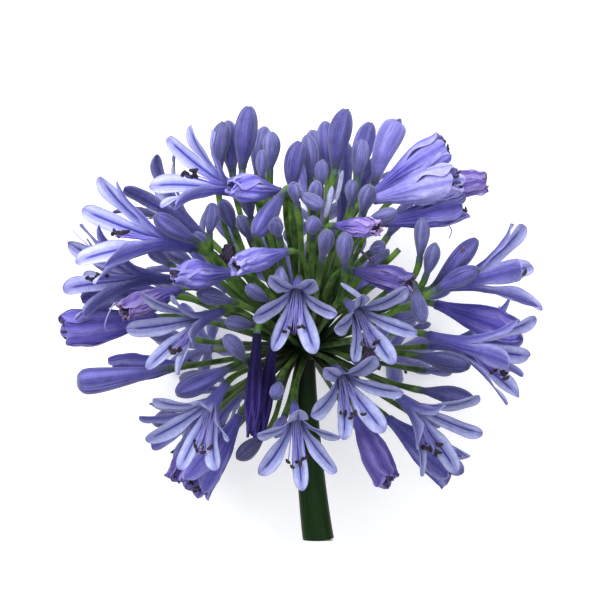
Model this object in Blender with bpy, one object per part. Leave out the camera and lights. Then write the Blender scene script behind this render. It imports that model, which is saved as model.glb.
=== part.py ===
"""Agapanthus flower head: the top of a cut scape and its umbel, lying on its lowest florets.

The scape lies along -Y, the crown of the umbel points along +Y, and +Z is up from the surface.
Lengths are in millimetres, measured from the receptacle, and each mesh is made in metres.
"""

import math
import random
from dataclasses import dataclass

import bpy
import numpy as np

MM = 0.001
SEED = 7
GOLDEN_ANGLE = math.radians(137.508)

# The head as a whole
RECEPTACLE_PLACE = np.array((1.6, -8.5, 74.0))
SCAPE_LENGTH = 78.0
SCAPE_TOP_WIDTH = 7.6
SCAPE_CUT_WIDTH = 12.4
SCAPE_DRIFT = 5.4
SCAPE_FLATNESS = 0.82
SCAPE_SIDES = 12
RECEPTACLE_RADIUS = 7.6
PEDICEL_RADIUS = 1.3
PEDICEL_ROOT_RADIUS = 0.75
PEDICEL_ROOT_DEPTH = 1.6
PEDICEL_START = 0.36
PEDICEL_END = 0.26
PEDICEL_LEAVE = 0.3
LOWEST_ROOT = -0.62
ROOT_SPACING = 2.1
SEAT_GAP = 0.3
BUD_SIDES = 6
BUD_OF_FIVE_SIDES = 3.4

# Floret shapes
BLADE = 0.7
TEPALS = 6
THROAT_DEPTH = 6.0
THROAT_FLOOR = 0.5
TIP_WIDTH = 0.35
FILAMENT_RADIUS = 0.42
ANTHER_RADIUS = 0.75
FILAMENT_LENGTH = 26.0
FILAMENT_ROOT_DEPTH = 7.5
FILAMENT_DROOP = 12.0
FILAMENT_SPACING = 1.15
FILAMENT_SPREAD = 4.0
CHANNEL = 0.16
RIM_BLEND = 0.3
ROOT_FLARE = 0.4
LEAST_LEAN = math.radians(1.5)
NEIGHBOUR_SHARE = 0.54
NEIGHBOUR_GAP = 0.45

# How florets differ from each other, in degrees but for the length of the tepals
FLARE_DRAW = 5.0
UPPER_FLARE = 5.0
SWAY_DRAW = 2.5
ROLL_DRAW = 14.0
STRETCH_RANGE = (0.94, 1.05)

# The hidden back of the head
BACK_BLOOMS = 42
BACK_REACH = 59.0
STEM_CONE_COSINE = 0.74

# Packing, so that no floret crosses another
PACKING_ROUNDS = 110
TEPAL_BALL = 2.1
MOST_FLARE = math.radians(22)
MOST_SWAY = math.radians(6)
MOST_BOW = 9.0
PULL_HOME = 0.02
LEAN_GAIN = 0.7
TEPAL_GAIN = 0.6
BOW_GAIN = 0.45
AWAY_FROM_MIDDLE = 0.6
FOOT_HOLD = 0.85
STALK_BALLS = 11
STALK_BALL = 1.8

COLOURS = {
    "green": ((0.055, 0.13, 0.025), 0.55),
    "open": ((0.34, 0.37, 0.66), 0.6),
    "closing": ((0.17, 0.15, 0.49), 0.6),
    "faded": ((0.14, 0.09, 0.33), 0.65),
    "bud": ((0.15, 0.14, 0.42), 0.5),
}


@dataclass(frozen=True)
class Form:
    """The proportions of one kind of floret, and of how finely its solid is divided."""

    tube: float
    base_radius: float
    throat_radius: float
    tepal: float
    half_width: float
    lean_at_throat: float
    lean_at_tip: float
    filaments: int
    rows: tuple
    columns: tuple


FORMS = {
    "open": Form(14.0, 1.7, 3.4, 27.0, 3.6, 20.0, 50.0, 2, (0.42, 0.8, 1.0), (-1, 0, 1)),
    "plain_open": Form(14.0, 1.7, 3.6, 27.0, 3.4, 17.0, 48.0, 1, (0.45, 0.82, 1.0), (-1, 1)),
    "closing": Form(12.5, 1.7, 4.2, 20.0, 2.9, 12.0, 4.0, 0, (0.55, 1.0), (-1, 1)),
    "faded": Form(9.0, 1.6, 3.4, 17.0, 2.3, 9.0, -4.0, 0, (0.55, 1.0), (-1, 1)),
    "hanging": Form(15.0, 1.5, 2.3, 22.0, 1.5, 3.0, 0.0, 0, (0.55, 1.0), (-1, 1)),
}

# The colour that each kind has, which also names its piece
LOOKS = {"open": "open", "plain_open": "open", "closing": "closing", "faded": "faded", "hanging": "faded",
         "bud": "bud"}

# Florets seen from their side that open to the viewer: turned so that a gap between two tepals is in front,
# which the tepals beside it leave wider by so many degrees, every second one lying over its neighbours
GAP_IN_FRONT = 30.0
GAP_FAN = (17.0, 6.0, 0.0, 0.0, -6.0, -17.0)
GAP_FLARE = 4.0

# Degrees of turn that bring a tepal straight below the throat of a floret that faces the viewer
TEPAL_BELOW = 28.0

# Places are read off the photograph: x to the right, y to the crown, z towards the viewer.
# A floret row holds its kind, its base, the way it faces and its size, and its turn where it has one.
FRONT_FLORETS = (
    ("open", (-2.5, 25, 57), (-0.04, -0.44, 0.90), 0.88),
    ("open", (16, 17, 55), (0.32, -0.31, 0.89), 0.88),
    ("open", (11.5, -8, 51), (0.20, -0.36, 0.91), 0.92, TEPAL_BELOW),
    ("open", (-4, -22, 43), (0.07, -0.52, 0.85), 0.88, TEPAL_BELOW + 10.0),
    ("open", (-32, 14, 42), (-0.67, -0.26, 0.70), 0.92),
    ("open", (-31, -15, 35), (-0.38, -0.56, 0.72), 0.94),
    ("plain_open", (-34, -22, -4), (-0.78, -0.54, -0.33), 0.86),
    ("plain_open", (-22, 58, 31), (-0.72, 0.25, 0.64), 1.0, GAP_IN_FRONT),
    ("plain_open", (-44, 38, 27), (-0.84, 0.16, 0.52), 1.12, GAP_IN_FRONT),
    ("plain_open", (-40, 43, -3), (-0.74, 0.58, -0.26), 0.94),
    ("plain_open", (-53, 26, 10), (-0.89, 0.08, 0.46), 1.05, GAP_IN_FRONT),
    ("plain_open", (-54, 20, -8), (-0.95, 0.12, 0.12), 1.0),
    ("plain_open", (51, 22.5, 8), (0.95, 0.20, 0.24), 1.1),
    ("plain_open", (48, 4, 21), (0.88, -0.30, 0.36), 1.04),
    ("open", (34, -17.5, 34), (0.60, -0.50, 0.63), 0.96),
    ("closing", (-10, 60, 36), (-0.62, 0.02, 0.78), 0.9),
    ("closing", (-28, 28, 47), (-0.70, -0.10, 0.70), 0.95),
    ("closing", (-59, 11, 8), (-0.98, -0.14, 0.12), 1.16),
    ("closing", (31, 48, 22), (0.93, 0.16, 0.26), 1.0),
    ("closing", (52, 16, -1), (0.93, -0.34, -0.05), 1.1),
    ("closing", (27, 60, 6), (0.80, 0.50, 0.15), 1.08),
    ("closing", (27, 57, 24), (0.90, 0.16, 0.38), 1.13),
    ("closing", (-26, -28, 12), (-0.47, -0.80, 0.34), 1.12),
    ("closing", (33, -29, 12), (0.72, -0.58, 0.36), 1.08),
    ("faded", (43, 61, 9), (0.97, 0.12, 0.10), 1.12),
    ("faded", (-49, 22, 33), (-0.74, -0.34, 0.58), 1.05),
    ("faded", (-8, 36, 57), (-0.70, -0.22, 0.68), 1.0),
    ("faded", (12, 46, 51), (0.66, -0.12, 0.75), 0.85),
    ("faded", (20, -27, 20), (0.38, -0.82, 0.40), 1.2),
    ("faded", (19, 29, 53), (0.78, -0.20, 0.58), 1.02),
    ("hanging", (-20, 5, 37), (-0.18, -0.97, 0.06), 1.06),
    ("hanging", (-12, 2, 30), (-0.10, -0.99, 0.06), 1.04),
    ("faded", (-41, -34, 4), (-0.50, -0.82, 0.18), 0.9),
)

# A bud row holds its base, the way it points, its length and its widest radius.
# These buds are long enough to be pieces of their own.
LARGE_BUDS = (
    ("bud", (-25, 70, 10), (0.10, 0.98, 0.10), 25, 4.8),
    ("bud", (-29, 69, 1), (-0.08, 0.98, -0.12), 21, 4.6),
    ("bud", (-5, 61, 12), (0.16, 0.97, 0.12), 20, 4.3),
    ("bud", (12, 70, 11), (0.18, 0.97, 0.08), 24, 4.8),
    ("bud", (9, 69, -1), (-0.04, 0.98, -0.14), 21, 4.4),
    ("bud", (28, 65, -4), (0.36, 0.93, -0.08), 27, 5.8),
    ("bud", (21, 67, -14), (0.22, 0.92, -0.28), 25, 4.6),
    ("bud", (50.8, 23.6, 20), (0.64, 0.72, 0.20), 25, 4.1),
    ("bud", (51, 21.8, 27), (0.87, 0.42, 0.26), 19, 3.8),
    ("bud", (45, -3.5, 28), (0.93, -0.14, 0.34), 21, 4.2),
    ("bud", (46, -17.5, 19), (0.95, -0.16, 0.28), 21, 3.8),
    ("bud", (-54, -9, 18), (-0.98, -0.14, 0.06), 36, 5.7),
    ("bud", (-30, -8.5, 37), (-0.84, -0.40, 0.36), 23, 4.5),
    ("bud", (-43, 41, 38), (-0.78, 0.46, 0.42), 19, 4.0),
    ("bud", (-9, 58, 46), (-0.46, -0.76, 0.46), 21, 4.4),
)

# Shorter buds, grown in one with the green of the head.
SMALL_BUDS = (
    ("bud", (-34, 70, 7), (0.14, 0.98, 0.14), 19, 4.2),
    ("bud", (-19, 68, -9), (0.14, 0.96, -0.24), 21, 4.4),
    ("bud", (-14, 70, 6), (0.04, 0.99, 0.12), 15, 3.7),
    ("bud", (2, 66, 3), (-0.08, 0.99, 0.10), 18, 3.7),
    ("bud", (5, 68, -10), (-0.08, 0.95, -0.30), 20, 4.4),
    ("bud", (21, 67, 7), (0.14, 0.97, 0.20), 15, 3.5),
    ("bud", (22, 51, 37), (0.24, 0.84, 0.48), 13, 3.5),
    ("bud", (24, 48, 41), (0.84, 0.28, 0.46), 13, 3.2),
    ("bud", (-3, 59, 43), (0.66, -0.40, 0.62), 13, 3.2),
    ("bud", (15, 32, 57), (0.02, 0.80, 0.60), 15, 3.5),
    ("bud", (33, 24, 46), (0.42, -0.40, 0.82), 14, 4.2),
    ("bud", (45, 35, 28), (0.08, 0.94, 0.32), 16, 3.2),
    ("bud", (47, 28, 28), (0.20, 0.86, 0.46), 14, 3.2),
    ("bud", (43, 22, 34), (0.14, -0.86, 0.50), 15, 3.4),
    ("bud", (-23, -5, 39), (-0.50, 0.66, 0.56), 14, 3.5),
    ("bud", (-17, -36, 13), (-0.70, -0.58, 0.40), 14, 3.7),
    ("bud", (-9, -27, 26), (-0.40, -0.70, 0.60), 10, 3.2),
    ("bud", (-10, -14, 36), (-0.20, -0.60, 0.76), 9, 3.0),
    ("bud", (-29, 18, 45), (-0.76, 0.22, 0.60), 15, 3.7),
    ("bud", (-17, 65, 20), (0.02, 0.97, 0.24), 12, 2.7),
    ("bud", (6, 62, 24), (0.06, 0.94, 0.34), 11, 2.8),
    ("bud", (3, 52, 40), (0.06, 0.90, 0.42), 12, 2.9),
    ("bud", (-2, 55, 45), (-0.10, 0.86, 0.50), 9, 2.6),
    ("bud", (18, 55, 33), (0.02, 0.92, 0.40), 10, 2.8),
    ("bud", (-10, 42, 53), (-0.10, 0.60, 0.80), 11, 3.0),
    ("bud", (-9, 30, 58), (0.04, -0.70, 0.72), 12, 3.2),
    ("bud", (3, 43, 54), (0.04, 0.60, 0.80), 10, 2.9),
    ("bud", (7, 34, 58), (0.20, 0.70, 0.68), 14, 3.2),
    ("bud", (-37, 44, 38), (0.10, 0.90, 0.44), 13, 3.1),
    ("bud", (-53, 33, 27), (-0.60, 0.60, 0.52), 11, 3.0),
    ("bud", (25, 36, 50), (0.50, 0.30, 0.80), 9, 2.8),
    ("bud", (27, 6, 50), (0.40, 0.10, 0.90), 10, 2.9),
    ("bud", (-28, 46, 20), (-0.34, 0.80, 0.34), 13, 3.3),
    ("bud", (-21, 50, 22), (-0.20, 0.84, 0.36), 12, 3.1),
    ("bud", (-44, 32, 4), (-0.80, 0.46, 0.10), 14, 3.3),
    ("bud", (-36, 36, 16), (-0.60, 0.66, 0.30), 12, 3.0),
    ("bud", (-20, 42, 4), (-0.40, 0.86, 0.10), 12, 3.1),
    ("bud", (-15, 18, 24), (-0.76, 0.52, 0.30), 11, 2.9),
    ("bud", (-20, 8, 17), (-0.92, 0.14, 0.26), 12, 3.1),
    ("bud", (32, 10, 10), (0.94, 0.14, 0.20), 12, 3.1),
    ("bud", (18, -5, 16), (0.88, -0.36, 0.20), 11, 2.9),
    ("bud", (24, 30, 14), (0.72, 0.62, 0.24), 12, 3.0),
)

# Three florets at the back that the head rests on
FEET = (
    ("plain_open", (-37, -2, -38), (-0.30, 0.06, -0.95), 0.98),
    ("plain_open", (33, -5, -38), (0.26, 0.08, -0.95), 0.98),
    ("plain_open", (4, 47, -37), (0.05, 0.36, -0.93), 0.98),
)

# What else grows at the back, taken in turn along the spiral
BACK_KINDS = ("plain_open", "bud", "small", "bud", "closing", "small", "bud", "plain_open", "small", "bud",
              "small")
BACK_PIECES = 9

# Places along the spiral left empty, because the photograph shows through between the front blooms there
SPIRAL_GAPS = (16, 18, 26, 28, 29)


@dataclass
class Bloom:
    """One floret or bud with its pedicel, in millimetres from the receptacle."""

    kind: str
    base: np.ndarray
    axis: np.ndarray
    size: float
    radius: float
    fused: bool
    roll: float
    held: float
    flare: np.ndarray
    sway: np.ndarray
    fan: np.ndarray
    stretch: np.ndarray
    bow: np.ndarray
    root: np.ndarray

    def frame(self):
        """Unit vectors to its side and to its upper side, away from where the filaments lie."""
        down = np.array((0.0, -1.0, 0.0)) if abs(self.axis[1]) < 0.97 else np.array((0.0, 0.0, 1.0))
        upper = -down + self.axis * (down @ self.axis)
        upper = unit(upper)
        side = np.cross(upper, self.axis)
        return side, upper


def unit(vector):
    vector = np.asarray(vector, float)
    return vector / np.linalg.norm(vector)


def smooth_step(x):
    x = np.clip(x, 0.0, 1.0)
    return x * x * (3.0 - 2.0 * x)


def make_bloom(draw, kind, base, axis, size, turn=0.0, radius=0.0, fused=False, held=0.5):
    """A bloom with its own small irregularities, drawn from the seeded generator."""
    flare = np.array([draw.uniform(-FLARE_DRAW, FLARE_DRAW) for _ in range(TEPALS)])
    flare += UPPER_FLARE * np.sin(np.radians(60) * np.arange(TEPALS))
    sway = np.array([draw.uniform(-SWAY_DRAW, SWAY_DRAW) for _ in range(TEPALS)])
    stretch = np.array([draw.uniform(*STRETCH_RANGE) for _ in range(TEPALS)])
    roll = math.radians(turn + draw.uniform(-ROLL_DRAW, ROLL_DRAW))
    fan = np.zeros(TEPALS)
    if turn == GAP_IN_FRONT:
        fan += np.radians(GAP_FAN)
        flare += GAP_FLARE * (-1.0) ** np.arange(TEPALS)
    return Bloom(kind, np.array(base, float), unit(axis), size, radius, fused, roll, held,
                 np.radians(flare), np.radians(sway), fan, stretch, np.zeros(3), unit(base))


def spiral_direction(index, count):
    """Directions spread evenly over the back of the head, deeper with each turn."""
    depth = 0.20 + 0.78 * (index + 0.5) / count
    across = math.sqrt(1.0 - depth * depth)
    angle = index * GOLDEN_ANGLE
    return np.array((across * math.cos(angle), across * math.sin(angle), -depth))


def back_bloom(draw, kind, direction):
    """A bloom at the back. The surface bends it outward, so it faces less straight down."""
    reach = BACK_REACH * (1.0 + 0.10 * direction[2])
    facing = direction * np.array((1.0, 1.0, 0.7)) + np.array((0.0, 0.1, 0.0))
    if kind in ("bud", "small"):
        length = draw.uniform(16, 22) if kind == "bud" else draw.uniform(9, 13)
        return make_bloom(draw, "bud", direction * reach, facing, length, 0.0, 0.19 * length, True, 0.0)
    return make_bloom(draw, kind, direction * (reach - 6), facing, 0.95, held=0.0)


def all_blooms():
    """Every bloom of the head, before it is packed."""
    draw = random.Random(SEED)
    blooms = [make_bloom(draw, *row) for row in FRONT_FLORETS]
    blooms += [make_bloom(draw, *row[:4], radius=row[4]) for row in LARGE_BUDS]
    blooms += [make_bloom(draw, *row[:4], radius=row[4], fused=True, held=0.3) for row in SMALL_BUDS]
    blooms += [make_bloom(draw, *row, held=FOOT_HOLD) for row in FEET]
    pieces = 0
    for index in range(BACK_BLOOMS):
        direction = spiral_direction(index, BACK_BLOOMS)
        if -direction[1] > STEM_CONE_COSINE or index in SPIRAL_GAPS:
            continue
        kind = BACK_KINDS[index % len(BACK_KINDS)]
        if kind in FORMS:
            pieces += 1
            if pieces > BACK_PIECES:
                kind = "bud"
        blooms.append(back_bloom(draw, kind, direction))
    return blooms


def spread_roots(blooms):
    """Spaces the pedicels' roots out over the receptacle, each near the way to its bloom."""
    roots = np.array([unit(bloom.base) for bloom in blooms])
    home = roots.copy()
    apart = ROOT_SPACING / RECEPTACLE_RADIUS
    for _ in range(60):
        line = roots[:, None] - roots[None, :]
        distance = np.linalg.norm(line, axis=2) + 1e-6
        push = np.clip(apart - distance, 0.0, None) * (distance > 1e-5)
        roots = roots + 0.4 * (line * (push / distance)[..., None]).sum(1) + 0.03 * (home - roots)
        roots[:, 1] = np.maximum(roots[:, 1], LOWEST_ROOT)
        roots /= np.linalg.norm(roots, axis=1)[:, None]
    for bloom, root in zip(blooms, roots):
        bloom.root = root


def tepal_radial(bloom, tepal):
    """The way tepal number `tepal` leans out from the floret's axis, and the way across it."""
    side, upper = bloom.frame()
    angle = bloom.roll + math.radians(60 * tepal)
    outward = math.cos(angle) * side + math.sin(angle) * upper
    across = -math.sin(angle) * side + math.cos(angle) * upper
    return outward, across


def tepal_half_width(form, t):
    """Half the tepal's width at t along it: narrow at the throat, broad, with a rounded tip."""
    broad = smooth_step(t / 0.5)
    width = form.half_width * broad + 0.5 * form.throat_radius * (1.0 - broad)
    tip = np.clip((t - 0.68) / 0.32, 0.0, 1.0)
    return width * np.sqrt(1.0 - (1.0 - TIP_WIDTH**2) * tip * tip)


def tepal_line(bloom, tepal, t):
    """A tepal's midline, t along it: how far along the axis, how far from it, its lean, and its length."""
    form = FORMS[bloom.kind]
    start = max(math.radians(form.lean_at_throat) + ROOT_FLARE * bloom.flare[tepal], LEAST_LEAN)
    turn = math.radians(form.lean_at_tip) + bloom.flare[tepal] - start
    turn = turn if abs(turn) > 1e-3 else 1e-3
    lean = start + turn * t
    length = form.tepal * bloom.size * bloom.stretch[tepal]
    along = form.tube * bloom.size + length * (np.sin(lean) - math.sin(start)) / turn
    radius = form.throat_radius * bloom.size + length * (math.cos(start) - np.cos(lean)) / turn
    return along, radius, lean, length


def tepal_surface(bloom, tepal, t, s):
    """Points of a tepal's middle surface, t along it and s across it, and the normals of its inner face."""
    form = FORMS[bloom.kind]
    outward, across = tepal_radial(bloom, tepal)
    t, s = np.asarray(t, float), np.asarray(s, float)
    along, radius, lean, length = tepal_line(bloom, tepal, t)
    inner = np.sin(lean)[..., None] * bloom.axis - np.cos(lean)[..., None] * outward
    room = NEIGHBOUR_SHARE * radius - NEIGHBOUR_GAP
    half = np.minimum(tepal_half_width(form, t) * bloom.size, room)
    flat = along[..., None] * bloom.axis + radius[..., None] * outward
    flat = flat + (half * s)[..., None] * across + (CHANNEL * half * s * s)[..., None] * inner
    flat = flat + (length * t * math.sin(bloom.sway[tepal] + bloom.fan[tepal]))[..., None] * across
    turn_round = math.radians(30) * s
    ring = along[..., None] * bloom.axis
    ring = ring + (radius * np.cos(turn_round))[..., None] * outward
    ring = ring + (radius * np.sin(turn_round))[..., None] * across
    blend = smooth_step(t / RIM_BLEND)[..., None]
    return bloom.base + ring * (1.0 - blend) + flat * blend, inner


def tube_radius(form, fraction):
    """The perianth tube's radius at a fraction of its length."""
    return form.base_radius + (form.throat_radius - form.base_radius) * fraction**1.6


def pedicel_points(bloom, fractions):
    """Points along a pedicel: out of the receptacle, then round to meet the bloom along its axis."""
    end = bloom.base - SEAT_GAP * bloom.axis * (0.0 if bloom.fused else 1.0)
    reach = np.linalg.norm(end)
    start = bloom.root * (RECEPTACLE_RADIUS - PEDICEL_ROOT_DEPTH)
    leave = unit(bloom.root + PEDICEL_LEAVE * (end / reach - bloom.axis))
    first = start + leave * reach * PEDICEL_START + bloom.bow
    second = end - bloom.axis * reach * PEDICEL_END + bloom.bow
    f = np.asarray(fractions, float)[:, None]
    g = 1.0 - f
    return g**3 * start + 3 * g * g * f * first + 3 * g * f * f * second + f**3 * end


def filament_path(bloom, number, fractions):
    """A filament's path: out of the throat, drooping to the floret's lower side, its end curled up."""
    side, upper = bloom.frame()
    form = FORMS[bloom.kind]
    f = np.asarray(fractions, float)[:, None]
    place = number - (form.filaments - 1) / 2
    droop = FILAMENT_DROOP * (1.0 + 0.1 * place) * (1.3 * f**2.2 - 0.35 * f**5)
    forward = form.tube - FILAMENT_ROOT_DEPTH + FILAMENT_LENGTH * f
    path = forward * bloom.axis - droop * upper + place * (FILAMENT_SPACING + FILAMENT_SPREAD * f) * side
    return bloom.base + path * bloom.size


BUD_PROFILE = ((0.0, 0.36), (0.34, 0.78), (0.66, 1.0), (0.9, 0.74), (1.0, 0.28))
SMALL_BUD_PROFILE = ((0.0, 0.36), (0.38, 0.84), (0.74, 1.0), (1.0, 0.4))


def bud_points(bloom, fractions):
    """Points along a bud's axis."""
    return bloom.base + np.asarray(fractions, float)[:, None] * bloom.size * bloom.axis


def packing_balls(bloom):
    """Balls that stand for a bloom while the head is packed.

    Each has a centre, a radius, the tepal that it belongs to or -1, the directions in which the
    tepal's flare and sway carry it, and its distance from the tepal's root.
    """
    if bloom.kind == "bud":
        fractions = (0.1, 0.4, 0.68, 0.9)
        radii = np.array((0.5, 0.75, 1.0, 0.85)) * bloom.radius + 0.5
        centres = bud_points(bloom, fractions)
        nothing = np.zeros((4, 3))
        return centres, radii, np.full(4, -1), nothing, nothing, np.ones(4)
    form = FORMS[bloom.kind]
    steps = np.array((0.15, 0.55, 0.95))
    centres = [bloom.base + (form.tube * bloom.size * steps)[:, None] * bloom.axis]
    radii = [tube_radius(form, steps) * bloom.size + 0.6]
    owner = [np.full(3, -1)]
    flare_way = [np.zeros((3, 3))]
    sway_way = [np.zeros((3, 3))]
    lever = [np.ones(3)]
    if form.filaments:
        path = filament_path(bloom, 1, (0.45, 0.7, 0.95))
        centres.append(path)
        radii.append(np.array((1.8, 2.4, 2.6)))
        owner.append(np.full(3, -1))
        flare_way.append(np.zeros((3, 3)))
        sway_way.append(np.zeros((3, 3)))
        lever.append(np.ones(3))
    wide = form.filaments > 0
    t, s = np.meshgrid((0.22, 0.42, 0.62, 0.82, 1.0), (-0.5, 0.5) if wide else (0.0,), indexing="ij")
    t, s = t.ravel(), s.ravel()
    for tepal in range(TEPALS):
        points, inner = tepal_surface(bloom, tepal, t, s)
        across = tepal_radial(bloom, tepal)[1]
        centres.append(points)
        radii.append(np.full(len(t), TEPAL_BALL))
        owner.append(np.full(len(t), tepal))
        flare_way.append(-inner)
        sway_way.append(np.tile(across, (len(t), 1)))
        lever.append(form.tepal * bloom.size * t)
    return tuple(np.concatenate(part) for part in (centres, radii, owner, flare_way, sway_way, lever))


def push_apart(points, centres, may_touch, reach, held):
    """How far each ball is pushed by those it sinks into, away from them and from their bloom's middle."""
    squared = (points * points).sum(1)
    apart = squared[:, None] + squared[None, :] - 2.0 * points @ points.T
    first, second = np.nonzero((apart < reach * reach) & ~may_touch)
    line = points[first] - points[second]
    distance = np.linalg.norm(line, axis=1) + 1e-6
    depth = reach[first, second] - distance
    share = (1.0 - held[first]) / (2.0 - held[first] - held[second])
    away = centres[first] - centres[second]
    line = line / distance[:, None] + AWAY_FROM_MIDDLE * away / (np.linalg.norm(away, axis=1)[:, None] + 1e-6)
    line = line / (np.linalg.norm(line, axis=1)[:, None] + 1e-6)
    push = np.zeros_like(points)
    np.add.at(push, first, line * (depth * share)[:, None])
    return push


def pack_head(blooms):
    """Leans blooms, tepals and pedicels apart until hardly anything crosses, and off the surface."""
    surface = -RECEPTACLE_PLACE[2]
    homes = [(bloom.base.copy(), bloom.axis.copy()) for bloom in blooms]
    fractions = np.linspace(0.4, 0.98, STALK_BALLS)
    balls = [packing_balls(bloom) for bloom in blooms]
    sizes = [len(ball[1]) for ball in balls] + [STALK_BALLS] * len(blooms)
    radii = np.concatenate([ball[1] for ball in balls] + [np.full(STALK_BALLS, STALK_BALL)] * len(blooms))
    held = np.repeat([bloom.held for bloom in blooms] + [0.2] * len(blooms), sizes)
    owner = np.repeat(list(range(len(blooms))) * 2, sizes)
    is_stalk = np.repeat([False] * len(blooms) + [True] * len(blooms), sizes)
    may_touch = (owner[:, None] == owner[None, :]) | (is_stalk[:, None] & is_stalk[None, :])
    reach = (radii[:, None] + radii[None, :]).astype(np.float32)
    starts = np.concatenate(((0,), np.cumsum(sizes)))
    for turn in range(PACKING_ROUNDS):
        pull = PULL_HOME * max(0.0, 1.0 - 1.4 * turn / PACKING_ROUNDS)
        balls = [packing_balls(bloom) for bloom in blooms]
        stalks = [pedicel_points(bloom, fractions) for bloom in blooms]
        points = [ball[0] for ball in balls] + stalks
        centres = np.repeat([group.mean(0) for group in points], sizes, axis=0)
        points = np.concatenate(points).astype(np.float32)
        push = push_apart(points, centres, may_touch, reach, held)
        push[:, 2] += np.maximum(surface + 1.0 + 0.5 * radii - points[:, 2], 0.0)
        for i, bloom in enumerate(blooms):
            lean_bloom(bloom, balls[i], push[starts[i]:starts[i + 1]], homes[i], pull)
            stalk = len(blooms) + i
            bloom.bow = 0.99 * bloom.bow + BOW_GAIN * push[starts[stalk]:starts[stalk + 1]].sum(0)
            bloom.bow *= min(1.0, MOST_BOW / (np.linalg.norm(bloom.bow) + 1e-9))
    for bloom in blooms:
        if bloom.held == FOOT_HOLD:
            bloom.base[2] -= lowest_point(bloom) - surface


def lowest_point(bloom):
    """The height of the lowest corner of a floret's tepals."""
    t, s = np.meshgrid(FORMS[bloom.kind].rows, FORMS[bloom.kind].columns, indexing="ij")
    corners = [tepal_surface(bloom, tepal, t.ravel(), s.ravel()) for tepal in range(TEPALS)]
    return min((middle[:, 2] - np.abs(normal[:, 2]) * BLADE / 2).min() for middle, normal in corners)


def lean_bloom(bloom, balls, push, home, pull):
    """Moves one bloom, and each of its tepals, by its share of the push on its balls."""
    centres, _, owner, flare_way, sway_way, lever = balls
    pushed = np.linalg.norm(push, axis=1) > 1e-6
    if pushed.any():
        count = pushed.sum() + 2.0
        arm = centres - bloom.base
        bloom.base = bloom.base + LEAN_GAIN * push.sum(0) / count
        spin = np.cross(arm, push).sum(0) / ((arm * arm).sum(1)[pushed].sum() + 200.0)
        bloom.axis = unit(bloom.axis + LEAN_GAIN * np.cross(spin, bloom.axis))
        for tepal in range(TEPALS):
            mine = owner == tepal
            if not (mine & pushed).any():
                continue
            weight = (lever[mine & pushed] ** 2).sum() + 30.0
            flare = ((push[mine] * flare_way[mine]).sum(1) * lever[mine]).sum() / weight
            sway = ((push[mine] * sway_way[mine]).sum(1) * lever[mine]).sum() / weight
            bloom.flare[tepal] = np.clip(bloom.flare[tepal] + TEPAL_GAIN * flare, -MOST_FLARE, MOST_FLARE)
            bloom.sway[tepal] = np.clip(bloom.sway[tepal] + TEPAL_GAIN * sway, -MOST_SWAY, MOST_SWAY)
    bloom.base = bloom.base + pull * (home[0] - bloom.base)
    bloom.axis = unit(bloom.axis + pull * (home[1] - bloom.axis))


def ring_of(centre, across, other, radius, sides):
    """Points of a ring in the plane of two directions."""
    angles = 2 * math.pi * np.arange(sides) / sides
    return centre + radius * (np.cos(angles)[:, None] * across + np.sin(angles)[:, None] * other)


def carried_rings(path, radii, sides, end_axis):
    """Rings along a path, turned with it so that they don't twist, the last one square to `end_axis`."""
    tangents = np.gradient(path, axis=0)
    tangents[-1] = end_axis
    guide = np.array((0.0, 0.0, 1.0)) if abs(unit(tangents[0])[2]) < 0.9 else np.array((0.0, 1.0, 0.0))
    across = np.cross(guide, tangents[0])
    rings = []
    for centre, tangent, radius in zip(path, tangents, radii):
        tangent = unit(tangent)
        across = unit(across - tangent * (across @ tangent))
        rings.append(ring_of(centre, across, np.cross(tangent, across), radius, sides))
    return rings


def skin(rings):
    """Points and triangles of a closed tube through rings of equal size, with flat ends."""
    sides = len(rings[0])
    faces = [tuple(range(sides))[::-1]]
    for row in range(len(rings) - 1):
        for k in range(sides):
            a, b = row * sides + k, row * sides + (k + 1) % sides
            faces.append((a, b, b + sides))
            faces.append((a, b + sides, a + sides))
    last = (len(rings) - 1) * sides
    faces.append(tuple(range(last, last + sides)))
    return np.concatenate(rings), faces


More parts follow.
